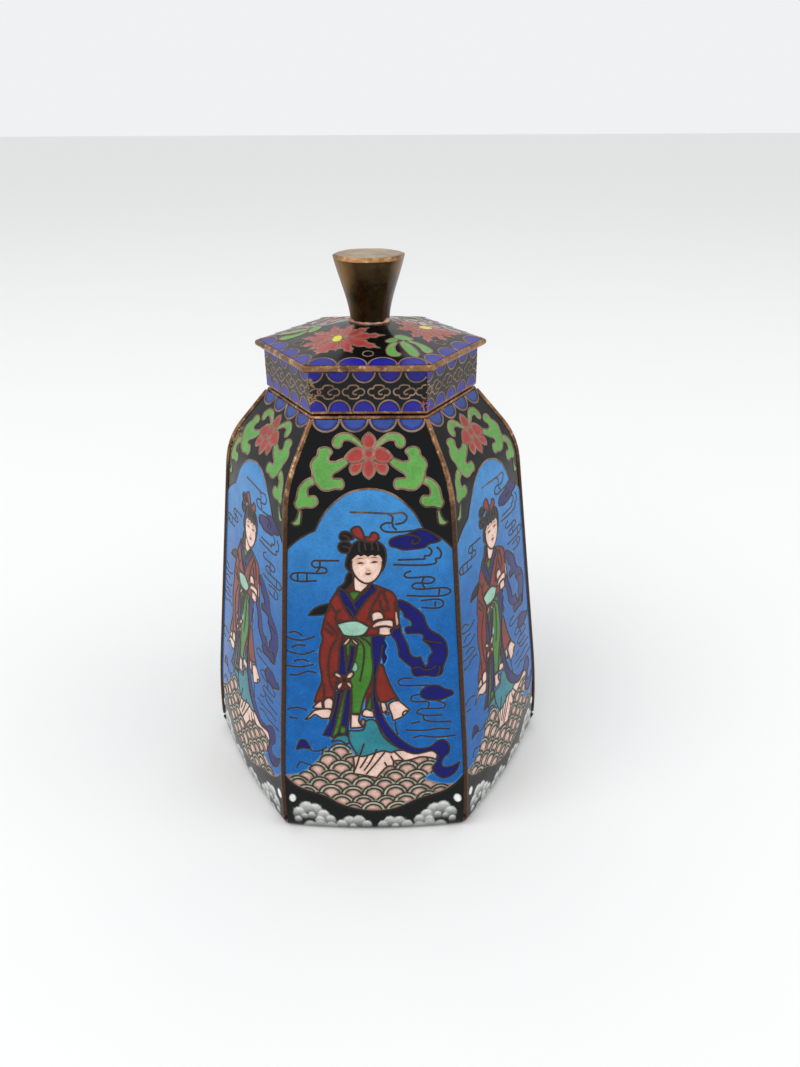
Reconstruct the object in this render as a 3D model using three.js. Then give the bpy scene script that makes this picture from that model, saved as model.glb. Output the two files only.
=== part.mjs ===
import * as THREE from "three";

// Hexagonal cloisonne enamel jar with a lift-off lid and a flared bronze knob.
// Millimetres, +Z up. The origin is the centre of the underside, two corners lie on the X axis
// and the face that is looked at squarely points along -Y.
// A width is measured across the flats of the hexagon.

// Body, outside
const FOOT_WIDTH = 62.4;
const BELLY_WIDTH = 65.4;
const SHOULDER_WIDTH = 51.0;
const RIM_WIDTH = 36.0;
const BELLY_HEIGHT = 11.5;
const SHOULDER_HEIGHT = 74.9;
const RIM_HEIGHT = 85.5;

// Body, how far each bend of the outline starts before and ends after its corner
const HEEL_BEND = { before: 1.4, after: 2.2 };
const BELLY_BEND = { before: 8.0, after: 11.5 };
const SHOULDER_BEND = { before: 5.0, after: 4.4 };

// Body, metal and enamel together
const BODY_WALL = 1.2;
const FLOOR = 1.6;
const BASE_RECESS = 0.8;
const FOOT_RING = 3.4;
const FLOOR_FILLET = 3.0;
const FLOOR_BEND = { before: 1.5, after: 1.5 };
const RECESS_SLOPE = 0.6;
const FACE_BOW = 1.3;

// Raised metal strips along the six corners, and the wire round the mouth
const STRIP_HALF_WIDTH = 0.62;
const STRIP_PROUD = 0.45;
const RIM_WIRE = 0.6;
const RIM_WIRE_PROUD = 0.25;

// Neck collar that stands inside the lid
const COLLAR_RISE = 6.0;
const COLLAR_WALL = 0.9;
const COLLAR_BEVEL = 0.25;
const COLLAR_CLEARANCE = 0.3;

// Lid
const LID_GAP = 0.3;
const SKIRT_WIDTH = 35.9;
const SKIRT_RISE = 7.9;
const SKIRT_WALL = 1.1;
const EAVE_WIDTH = 38.8;
const EAVE_THICKNESS = 1.2;
const EAVE_EDGE = 0.3;
const ROOF_RISE = 3.5;
const ROOF_WALL = 1.2;
const ROOF_SOFTNESS = 0.55;
const ROOF_FULLNESS = 0.54;

// Knob
const KNOB_GAP = 0.3;
const KNOB_HEIGHT = 12.0;
const KNOB_BASE_WIDTH = 6.8;
const KNOB_TOP_WIDTH = 12.3;
const KNOB_BEVEL = 0.3;
const KNOB_STEM = 0.1;
const KNOB_FLARE = 0.7;
const KNOB_TURN = THREE.MathUtils.degToRad(7);
const KNOB_SOFTNESS = 0.6;
const KNOB_SEAT = 0.6;

// Fineness of the faceting
const FACE_STEPS = 4;
const BEND_STEPS = 4;
const ROOF_STEPS = 5;
const KNOB_STEPS = 6;

const SIDES = 6;
const SIDE_ANGLE = (2 * Math.PI) / SIDES;
const FRONT_ANGLE = -Math.PI / 2;
const ROUND_TO_FLAT = 1.05;

const rimInside = SKIRT_WIDTH / 2 - SKIRT_WALL;
const collarOutside = rimInside - COLLAR_CLEARANCE;
const collarInside = collarOutside - COLLAR_WALL;
const collarTop = RIM_HEIGHT + COLLAR_RISE;
const skirtBottom = RIM_HEIGHT + LID_GAP;
const eaveBottom = skirtBottom + SKIRT_RISE;
const eaveTop = eaveBottom + EAVE_THICKNESS;
const roofTop = eaveTop + ROOF_RISE;
const knobBottom = roofTop + KNOB_GAP;

// How far the middle of a face stands out: most at the foot, nothing at the mouth.
function bowAt(height) {
  return FACE_BOW * THREE.MathUtils.clamp(1 - height / RIM_HEIGHT, 0, 1);
}

// The points of one six-sided ring, counter-clockwise from above. Each side has its bowed face
// and then the three points of the strip on the corner after it.
function ringPoints({ half, height, bow = 0, proud = 0, soft = 0, turn = 0 }) {
  const sideHalf = half * Math.tan(SIDE_ANGLE / 2);
  const strip = Math.min(STRIP_HALF_WIDTH, sideHalf / 3);
  const points = [];
  const place = (angle, across, outward) => {
    const point = new THREE.Vector2(outward, across).rotateAround(new THREE.Vector2(), angle);
    const round = (half * ROUND_TO_FLAT) / point.length();
    point.multiplyScalar(THREE.MathUtils.lerp(1, round, soft));
    points.push(new THREE.Vector3(point.x, point.y, height));
  };
  for (let side = 0; side < SIDES; side++) {
    const angle = FRONT_ANGLE + side * SIDE_ANGLE + turn;
    for (let step = 0; step <= FACE_STEPS; step++) {
      const across = THREE.MathUtils.lerp(strip - sideHalf, sideHalf - strip, step / FACE_STEPS);
      place(angle, across, half + bow * (1 - (across / sideHalf) ** 2));
    }
    const shoulder = sideHalf - strip / 2;
    place(angle, shoulder, half + proud * 0.75);
    const corner = (half / Math.cos(SIDE_ANGLE / 2)) + proud;
    place(angle + SIDE_ANGLE / 2, 0, corner);
    place(angle + SIDE_ANGLE, -shoulder, half + proud * 0.75);
  }
  return points;
}

// One closed skin through a list of rings, with a flat point on the axis at each end.
function loft(rings) {
  const around = ringPoints(rings[0]).length;
  const vertices = [new THREE.Vector3(0, 0, rings[0].height)];
  for (const ring of rings) vertices.push(...ringPoints(ring));
  vertices.push(new THREE.Vector3(0, 0, rings.at(-1).height));
  const last = vertices.length - 1;
  const triangles = [];
  const index = (ring, step) => 1 + ring * around + (step % around);
  for (let step = 0; step < around; step++) {
    triangles.push(0, index(0, step + 1), index(0, step));
    triangles.push(last, index(rings.length - 1, step), index(rings.length - 1, step + 1));
    for (let ring = 0; ring < rings.length - 1; ring++) {
      const a = index(ring, step);
      const b = index(ring, step + 1);
      const c = index(ring + 1, step + 1);
      const d = index(ring + 1, step);
      triangles.push(a, b, c, a, c, d);
    }
  }
  const geometry = new THREE.BufferGeometry().setFromPoints(vertices);
  geometry.setIndex(triangles);
  geometry.computeVertexNormals();
  return geometry;
}

const vec = (half, height) => new THREE.Vector2(half, height);

// An outline through corner points, with each bend a quadratic curve.
function bentOutline(start, corners, end) {
  const path = new THREE.Path();
  path.moveTo(start.x, start.y);
  corners.forEach(({ point, bend }, place) => {
    const from = place === 0 ? start : corners[place - 1].point;
    const to = place === corners.length - 1 ? end : corners[place + 1].point;
    const enter = point.clone().add(from.clone().sub(point).setLength(bend.before));
    const leave = point.clone().add(to.clone().sub(point).setLength(bend.after));
    path.lineTo(enter.x, enter.y);
    path.quadraticCurveTo(point.x, point.y, leave.x, leave.y);
  });
  path.lineTo(end.x, end.y);
  return path.getPoints(BEND_STEPS);
}

// The line through a and b, moved to its left by a distance.
function movedLine(a, b, distance) {
  const left = vec(a.y - b.y, b.x - a.x).setLength(distance);
  return [a.clone().add(left), b.clone().add(left)];
}

function meeting([a, b], [c, d]) {
  const along = b.clone().sub(a);
  const other = d.clone().sub(c);
  const share = c.clone().sub(a).cross(other) / along.cross(other);
  return a.clone().addScaledVector(along, share);
}

function bodyRings() {
  const foot = vec(FOOT_WIDTH / 2, 0);
  const heel = vec(BELLY_WIDTH / 2, 0);
  const belly = vec(BELLY_WIDTH / 2, BELLY_HEIGHT);
  const shoulder = vec(SHOULDER_WIDTH / 2, SHOULDER_HEIGHT);
  const rim = vec(RIM_WIDTH / 2, RIM_HEIGHT - RIM_WIRE);
  const recess = FOOT_WIDTH / 2 - FOOT_RING;
  const floorTop = BASE_RECESS + FLOOR;

  const outside = bentOutline(foot, [
    { point: heel, bend: HEEL_BEND },
    { point: belly, bend: BELLY_BEND },
    { point: shoulder, bend: SHOULDER_BEND },
  ], rim);

  const innerHeel = vec(heel.x - BODY_WALL, floorTop);
  const wallLine = movedLine(heel, belly, BODY_WALL);
  const sideLine = movedLine(belly, shoulder, BODY_WALL);
  const shoulderLine = movedLine(shoulder, rim, BODY_WALL);
  const throatLine = [vec(collarInside, 0), vec(collarInside, collarTop)];
  const innerBelly = meeting(wallLine, sideLine);
  const innerShoulder = meeting(sideLine, shoulderLine);
  const throat = meeting(shoulderLine, throatLine);
  const inside = bentOutline(vec(innerHeel.x - FLOOR_FILLET, floorTop), [
    { point: innerHeel, bend: FLOOR_BEND },
    { point: innerBelly, bend: BELLY_BEND },
    { point: innerShoulder, bend: SHOULDER_BEND },
  ], throat).reverse();

  const wireOut = rim.x + RIM_WIRE_PROUD;
  const plain = (half, height) => ({ half, height, bow: bowAt(height) });
  return [
    plain(recess - RECESS_SLOPE, BASE_RECESS),
    plain(recess, 0),
    ...outside.map((point, place) => ({
      ...plain(point.x, point.y),
      proud: place === 0 ? 0 : STRIP_PROUD,
    })),
    plain(wireOut, rim.y + RIM_WIRE_PROUD),
    plain(wireOut, RIM_HEIGHT - RIM_WIRE_PROUD),
    plain(rim.x, RIM_HEIGHT),
    plain(collarOutside, RIM_HEIGHT),
    plain(collarOutside, collarTop - COLLAR_BEVEL),
    plain(collarOutside - COLLAR_BEVEL, collarTop),
    plain(collarInside, collarTop),
    ...inside.map((point) => plain(point.x, point.y)),
  ];
}

function lidRings() {
  const skirt = SKIRT_WIDTH / 2;
  const eave = EAVE_WIDTH / 2;
  const seat = KNOB_BASE_WIDTH / 2 + KNOB_SEAT;
  const start = vec(eave - EAVE_EDGE, eaveTop);
  const end = vec(seat, roofTop);
  const top = new THREE.QuadraticBezierCurve(
    start,
    vec(THREE.MathUtils.lerp(start.x, end.x, 0.5), eaveTop + ROOF_RISE * ROOF_FULLNESS),
    end,
  ).getPoints(ROOF_STEPS);
  const softAt = (half) => ROOF_SOFTNESS * THREE.MathUtils.clamp(1 - (half - seat) / (eave - seat), 0, 1);
  const roof = (lower) => top.map((point) => ({
    half: point.x,
    height: point.y - lower,
    soft: softAt(point.x),
  }));
  const ceiling = roof(ROOF_WALL).filter((ring) => ring.half < rimInside).reverse();
  return [
    ...ceiling,
    { half: rimInside, height: eaveBottom },
    { half: rimInside, height: skirtBottom },
    { half: skirt, height: skirtBottom },
    { half: skirt, height: eaveBottom },
    { half: eave - EAVE_EDGE, height: eaveBottom },
    { half: eave, height: eaveBottom + EAVE_EDGE },
    { half: eave, height: eaveTop - EAVE_EDGE },
    ...roof(0),
  ];
}

function knobRings() {
  const base = KNOB_BASE_WIDTH / 2;
  const top = KNOB_TOP_WIDTH / 2;
  const rise = KNOB_HEIGHT - KNOB_BEVEL;
  const flare = new THREE.CubicBezierCurve(
    vec(base, 0),
    vec(THREE.MathUtils.lerp(base, top, KNOB_STEM), rise / 3),
    vec(THREE.MathUtils.lerp(base, top, KNOB_FLARE), (rise * 2) / 3),
    vec(top, rise),
  ).getPoints(KNOB_STEPS);
  const section = (half, height) => ({
    half,
    height: knobBottom + height,
    soft: KNOB_SOFTNESS,
    turn: KNOB_TURN,
  });
  return [
    ...flare.map((point) => section(point.x, point.y)),
    section(top - KNOB_BEVEL, KNOB_HEIGHT),
  ];
}

function piece(name, rings, look) {
  const mesh = new THREE.Mesh(loft(rings), new THREE.MeshStandardMaterial(look));
  mesh.name = name;
  return mesh;
}

const jar = new THREE.Group();
jar.name = "cloisonne_jar";
jar.add(piece("body", bodyRings(), { color: 0x2a78b8, roughness: 0.2, metalness: 0.1 }));
jar.add(piece("lid", lidRings(), { color: 0x14161a, roughness: 0.2, metalness: 0.1 }));
jar.add(piece("knob", knobRings(), { color: 0x5c4326, roughness: 0.35, metalness: 0.9 }));

export default jar;
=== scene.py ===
"""Hexagonal cloisonne enamel jar: enamel pictures, soldered wires, copper strips, lid and bronze knob."""
import math

import bmesh
import bpy
import numpy as np
from mathutils import Matrix, Vector, geometry, kdtree


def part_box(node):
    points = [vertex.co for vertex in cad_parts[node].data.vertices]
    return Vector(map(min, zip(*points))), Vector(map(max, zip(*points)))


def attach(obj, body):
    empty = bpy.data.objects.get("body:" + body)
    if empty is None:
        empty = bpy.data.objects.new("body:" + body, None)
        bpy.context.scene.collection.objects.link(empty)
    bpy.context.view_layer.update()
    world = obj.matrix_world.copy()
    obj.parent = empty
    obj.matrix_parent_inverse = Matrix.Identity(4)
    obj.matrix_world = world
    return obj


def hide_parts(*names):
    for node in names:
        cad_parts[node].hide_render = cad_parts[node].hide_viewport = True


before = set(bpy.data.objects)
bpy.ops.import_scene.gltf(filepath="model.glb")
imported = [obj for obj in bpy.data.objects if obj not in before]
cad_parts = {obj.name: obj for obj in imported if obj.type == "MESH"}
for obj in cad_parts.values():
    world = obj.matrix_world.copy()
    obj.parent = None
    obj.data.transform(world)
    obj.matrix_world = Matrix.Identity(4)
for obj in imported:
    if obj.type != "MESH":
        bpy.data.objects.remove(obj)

bl_info = {
    "name": "Cloisonne Jar",
    "version": (1, 0, 0),
    "blender": (4, 5, 0),
    "location": "View3D > Sidebar > Jar",
    "description": "Builds a six-sided cloisonne enamel jar with its lid and knob",
    "category": "Add Mesh",
}

MM = 0.001
SIDES = 6
SIDE_ANGLE = math.tau / SIDES
FRONT = -math.pi / 2
ROUND_TO_FLAT = 1.05

# Outside line of the jar, in millimetres: half widths across the flats, and heights.
FOOT = (31.2, 0.0)
HEEL = (32.7, 0.0)
BELLY = (32.7, 11.5)
SHOULDER = (25.5, 74.9)
RIM = (18.0, 84.9)
BENDS = ((1.4, 2.2), (8.0, 11.5), (5.0, 4.4))
RIM_HEIGHT = 85.5
WALL = 1.2
FLOOR_TOP = 2.4
RECESS = 0.8
FOOT_RING = 3.4

# The collar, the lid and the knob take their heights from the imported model.
COLLAR_OUTSIDE = 16.55
COLLAR_INSIDE = 15.65
COLLAR_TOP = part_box("body")[1].z / MM
SKIRT_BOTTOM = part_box("lid")[0].z / MM
ROOF_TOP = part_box("lid")[1].z / MM
KNOB_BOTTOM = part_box("knob")[0].z / MM
KNOB_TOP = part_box("knob")[1].z / MM
SKIRT_HALF = 17.95
SKIRT_RISE = 7.9
SKIRT_WALL = 1.1
EAVE_HALF = 19.4
EAVE_EDGE = 0.3
EAVE_THICKNESS = 1.2
EAVE_BOTTOM = SKIRT_BOTTOM + SKIRT_RISE
EAVE_TOP = EAVE_BOTTOM + EAVE_THICKNESS
ROOF_WALL = 1.2
ROOF_SEAT = 4.0
ROOF_SOFTNESS = 0.55
ROOF_FULLNESS = 0.54

# Enamel is laid in a sheet on the copper, and the wires stand a hair above it.
SHEET_DEPTH = 0.4
SHELL_SINK = 0.3
WIRE_SINK = 0.12
SMOOTH_STEP = 0.34
FINE_STEP = 0.12
GRID = 0.62

# A wire's rounded top: shares of its width across, and of its height.
WIRE_CROWN = ((-0.42, 0.7), (-0.2, 1.0))

# The copper wall sinks under the enamel over this length from the foot, in these steps.
SINK_START = 1.5
LOW_STEPS = (0, 0.4, 0.9, 1.5, 2.2, 3.2)
EASE = 0.15
COPPER, LINED = 0, 1

# Camera that looks at the jar as the photograph does.
LENS = 27.02
CAMERA_PLACE = (0.00523, -0.15475, 0.13239)
CAMERA_AXES = (27.2897, 0.1016, -0.2724)


def paint(red, green, blue):
    """A screen colour, from 0 to 255, as the linear colour that a shader takes."""
    parts = [value / 255 for value in (red, green, blue)]
    return tuple(v / 12.92 if v <= 0.04045 else ((v + 0.055) / 1.055) ** 2.4 for v in parts)


# Each glaze: colour in the middle of a cell, colour at its wire, width of that edge in millimetres.
GLAZES = {
    "black": (paint(9, 11, 12), paint(14, 15, 15), 0.4),
    "cobalt": (paint(34, 34, 140), paint(20, 18, 92), 0.7),
    "rim_blue": (paint(54, 76, 144), paint(24, 28, 96), 0.9),
    "leaf": (paint(92, 152, 74), paint(128, 158, 102), 0.5),
    "lotus": (paint(154, 62, 58), paint(178, 104, 96), 0.5),
    "sky": (paint(58, 130, 190), paint(56, 126, 186), 0.4),
    "navy": (paint(16, 18, 98), paint(14, 14, 66), 0.5),
    "robe": (paint(122, 38, 28), paint(88, 30, 24), 0.6),
    "cream": (paint(226, 194, 180), paint(196, 154, 138), 0.5),
    "skin": (paint(232, 200, 184), paint(210, 170, 152), 0.5),
    "hair": (paint(16, 14, 14), paint(26, 20, 18), 0.4),
    "mint": (paint(146, 188, 168), paint(120, 160, 142), 0.5),
    "teal": (paint(44, 122, 134), paint(48, 106, 112), 0.5),
    "grass": (paint(62, 118, 40), paint(50, 90, 36), 0.5),
    "scarlet": (paint(132, 44, 38), paint(96, 32, 28), 0.4),
    "sage": (paint(164, 170, 150), paint(114, 120, 102), 0.32),
    "rose": (paint(212, 174, 160), paint(132, 104, 92), 0.8),
    "pearl": (paint(236, 238, 234), paint(150, 152, 150), 0.35),
    "lemon": (paint(212, 210, 52), paint(170, 160, 60), 0.4),
    "umber": (paint(44, 34, 26), paint(30, 24, 20), 0.3),
}

# Artwork, one cell or wire a line: the glaze, or "wire" for an open wire, then m for a mirrored
# second one, n for no wire round it, or a number for a stroke of that width. Points are millimetres
# across the face and up its slope, and a point with ! is a sharp corner. A line that starts with a
# space goes on from the one before.
FLOWER_ART = """
leaf m|-.9,83.4! -2.2,84.9 -3.6,85.8 -5.3,85.7 -6.4,84.6 -6.3,83.5 -5.6,83.1 -4.9,83.5 -4.6,84.4
 -3.6,84.5 -2.4,83.9 -1.2,83!
leaf m|-3.9,81.5! -5.9,80.6! -7.1,80.8 -7.1,81.5 -6.5,82.4 -6.9,83 -8,83.3 -8.9,82.9 -9.2,81.7 -9.8,81.2
 -10.3,80.1 -10,78.8 -9.9,77.6 -9.2,76.5 -8.2,75.6 -7.1,75.5 -6,75.8 -4.8,75.8 -4.4,76.6 -4.8,77.5
 -5.7,77.6 -6.5,77.7 -6.4,78.3 -5.3,79 -3.9,80.1 -3.5,80.6!
leaf m|-9.8,77.9! -11.4,77.2 -12.5,75.8 -12.9,74.2 -13.3,73.3! -12.8,72.2 -11.4,72.5 -10,72.5 -9.1,73.4
 -9.6,74.5 -10.7,74.5 -10.9,75.1 -10.7,76 -9.6,76.7!
leaf m|-12.6,72! -12.9,70.8 -13.5,69.9 -14.1,69.6! -13.4,69 -12.5,69.2 -12.2,70.4 -12.1,71.7!
lotus m|-.5,82.5! -1.5,83.2 -2.9,82.9 -4.3,81.4! -3.6,80.6 -2.2,80.3 -.9,81 -.3,81.8!
lotus m|-1.9,80.4! -3,80.3 -3.4,79.3 -2.9,78.3! -1.9,78.6 -1.1,79.6 -.6,81!
lotus|0,86! -.9,85.2 -1.2,84.2 -.8,83.2 0,82.5! .8,83.2 1.2,84.2 .9,85.2
lotus|-.4,81.4! -1.1,79.8 -.9,78.4 0,77.5! .9,78.4 1.1,79.8 .4,81.4!
lotus|-.9,82.1 -.5,82.9 .5,82.9 .9,82.1 .5,81.2 -.5,81.2
"""
SKY_ART = """
sky n|0,75.8 -3,75.3 -5,74.3 -7.7,71.8 -9.9,68.1! -11.5,67.3 -13.3,66.1 -15.6,63.9 -17.3,61! -20,50!
 -21,30! -20,16.5! -18.3,14.5 -15.9,12.2 -10,9.9 -7.3,8.1 -4.1,6.9 0,6.3 4.5,7 9.1,9.3 14.1,10.9
 16.4,12.5 18.2,14.5 20,16.5! 21,30! 20,50! 17.3,61! 15.6,63.7 13.7,65.9 11.7,67.3 9.8,68.2! 7.7,71.8
 5,74.3 3,75.3
wire|-15.6,63.9 -13.3,66.1 -11.5,67.3 -9.9,68.1! -7.7,71.8 -5,74.3 -3,75.3 0,75.8 3,75.3 5,74.3 7.7,71.8
 9.8,68.2! 11.7,67.3 13.7,65.9 15.6,63.7
wire|-3.5,71.6 0,71.5 4.2,71.3 6,71.4 6.7,70.7 6.2,69.7 4.6,69.3
wire|3.3,71.2 4.1,70.7 4,69.5! 2.8,69.5 2,68.8 2.6,68 4.9,67.8 8.3,68.1
wire|4.2,69.5 4.2,68.9 4.9,68.2
navy|3.5,65.9 3.9,66.5 5.1,67 6.7,67.3 8.7,68.3 9.9,68.2 11.6,67.3 12.8,66.1! 11.9,65.7 10.8,65.5
 9.9,64.8 7.8,64.5 6,64.4 4.9,64.8 3.7,65.2
wire|6.5,67.2 8.3,67 9.1,66.4 8.5,65.6 7.5,65.7 8,66.3
wire|10.5,64.8 11.2,64.1 10.8,63.2 9.9,63.1 10,62.5! 5,62.4
wire|12.1,64.8 12.9,63.8 12.7,62.7 11.9,62.5 12.1,61.9 11.5,61.5 4.2,61.5
wire|-5.6,62.3 -8.8,62.3 -10.4,62.2 -10.7,61.6 -10.2,61 -9,61 -8.1,60.7 -8.1,60 -9,59.8 -14.2,59.7
 -14.7,59.1 -14.2,58.4 -9.9,58.3
wire|-13.4,59.7 -13.4,58.4
wire|-11.7,59.7 -11.7,58.4
wire|-9.2,62.2 -9.3,60.9 -9.9,60
wire|7.5,60.2 6.5,59.8 6.2,59.3 6.8,58.9 11.1,58.9 11.8,58.4 11.1,57.7 8.2,57.7 7.6,57.1 8.4,56.6
 14.1,56.6 14.8,56 14.1,55.3 6.6,55.3
wire|9.8,58.8 9.5,57.9 10,56.7
wire|12.7,56.5 12.6,55.3
wire|9.3,54.2 13.1,54.2 13.5,53.5 13.1,52.8 9.3,52.8
wire|11.9,54 12,52.9
wire|-15.6,47.5 -14.5,47.8 -13.1,47
wire|-16.4,46.7 -13.6,46 -10.7,46.9
wire|-15.3,44.4 -13.9,45 -12.6,44.8
wire|-16.4,43.8 -13.4,43 -10.9,43.9
wire|-15,41.4 -13.4,41.9 -12,41.4
wire|-16.8,40.5 -13.4,40.3 -11.2,40.9
wire|-16,38.5 -14.5,38.5 -12.5,39.3 -10.7,39
wire|7.6,37.8 5.7,37.8 5,37.2 5.2,36.5 9.5,36.2 12.5,36.1
navy|9.3,34.7 10.5,35.9 12.5,36.1 14.1,35.2 15.5,34.7 15.7,34 14.8,33.5 13.4,32.9 11.1,32.9 9.5,33.6
wire|9.3,34.2 7.6,33.8 7.5,32.9 8.4,32.6 10.7,32.6
wire|10.9,32.5 10.7,31.1 9.3,30.9 8.6,30.2 9.5,29.6 13.6,29.4
wire|12.5,32.7 14.1,31.8 13.9,31.1 10.3,31
wire|9.9,29.3 10.2,28.4 15.5,27.8
wire|7.5,27.7 9.3,28.1
wire|6.4,26.3 10.2,26 12.7,26.3 15.2,26
wire|7.7,24.3 9.3,24.8 12.3,24.3 16.4,24.5
navy|-15.5,21.3! -15.1,22.8 -14.5,23.8 -13.6,23.7 -13,22.8 -12.6,21.7! -13.4,21.8 -14.4,21.8
wire|-12.9,22 -12.3,21.3 -10.9,21.3 -9.3,22.4
wire|-15.7,16.9 -14.8,18.4 -13.4,18 -12.3,17.9 -10.9,19.5 -10,21.8
wire|-16.9,30.6 -14.9,31.2 -12.9,30.6
wire|-16.6,28.9 -14.9,28.6
"""
WAVE_FIELD = """
-20,15! -17.8,15 -14.5,16 -11,19.5 -9,22.6 -7.4,23.4 -4.8,24! -3.6,19! -1,19 2,19.5 5,20.3 9,20.6
12.5,18.2 12.2,16.5 10,14.5! 14.5,12.8 16.4,12.9 18.2,14.9 16.4,12.5! 14.1,10.9 9.1,9.3 4.5,7 0,6.3
-4.1,6.9 -7.3,8.1 -10,9.9 -15.9,12.2 -18.3,14.5
"""
GOWN_ART = """
robe n|-7.6,47! -8,40 -7.6,35.5! -5,35 -3.4,37! -2.6,47!
navy n|-7.4,35! -9.4,24.9! -5,25! -4,36!
robe n|-1.6,31! .4,31! 1,38! -1,40!
cream|-4.1,20! -3,20.5 -1,20.8 1,21.4 3,21.5 5.2,21.8 8,20.9 10.2,21.3 12,21.2! 12.7,20.2 12.5,19!
 11.4,19.5 9.3,19.8 7.5,19.3 6.1,19! 4.1,19 3.9,17.9! 2.7,17.7 1.8,16.8 .5,15! -1.8,15.6 -4.1,16! -4,18
wire|-2.5,22 -3.2,19 -4.1,16.3
wire|-1.1,20.6 -2,18.8 -2.8,17.4
wire|.4,21.3 -.7,19 -2,16.8
wire|2.2,21.2 .4,18.6 -1.6,15.9
wire|3.4,20.3 3.9,19
wire|4.1,21.3 5.2,20 6.1,19
wire|2.1,18.8 2.7,17.6
teal|-5.4,25.2! -7.3,24.8 -8.5,23.4! -6.8,23.9 -5.2,23.1 -4.6,24
teal|-4.8,26.3! -2,26.5 -1.4,28.4 -.4,28.8 .5,28.4 1.8,25.2 3.6,23.1 6.2,21.5! 4.5,21.5 3.6,21.1
 1.8,21.5 .5,21.1 -2.3,20.2 -3.2,20.4! -4.3,22.5 -4.9,24.3
wire|-1.9,23.2 -2.8,20.4
wire|.6,21.9 .1,20.4
cream|-4.3,30! -2.6,29.8! -2.8,28.4 -2,27! -4.5,26.8!
cream|-2.2,29.7! -1.8,30.9 -.9,31.2 0,30.6 .2,29.3! -1.4,29.4
rose|-2,29! -2.5,28.1 -2,27.3 -1.5,28.4
grass|-5,47! -4.8,42 -4.1,35.2 -4.3,30.1! -2.5,30.1! -1.4,34.5 -.2,37.5 .2,40 .3,44 1.1,48.5! -2,48
grass|-.4,34.6! -1.4,31.3! -.4,30.7! -.2,33
mint n|-3.6,41.4 -3,41 -2.9,40 -3.3,39.5 -3.8,40
wire|-3.1,46.6 -2,45.8 -1.5,44.4 -1.6,41.8 -2.4,37.3
wire|-2.1,46.7 -.9,46 -.2,45
wire|-2.7,45 -3.3,42 -3.9,40.2
wire|-3.7,44.9 -4.3,43 -4.9,41.4
grass|-5.5,35.4! -6.4,31.8 -8.3,24.5! -7.3,25.2 -6.4,27.5 -5.8,30.6 -4.9,35.5!
grass|-6.5,27.1! -5.5,27 -5.5,25.5! -6.6,25.7
navy|-6.9,34.8! -7.7,30.6 -8.7,27.8 -10.1,25! -8.4,24.8! -7.4,27.8 -6.9,30.4 -6,34.9!
navy|-5,35.6! -5.6,32 -6.1,29 -6.5,27.3! -5,27.2! -4.5,31 -4.2,35.6!
navy|-6.3,45.8! -6.4,42 -6.7,38.8! -4.9,38.6! -5.1,42 -5.2,45.8!
navy|-4.1,45! -4.3,42.4 -5.1,39.6! -4.3,39! -3.6,41.6 -3.1,44.8!
"""
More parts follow.
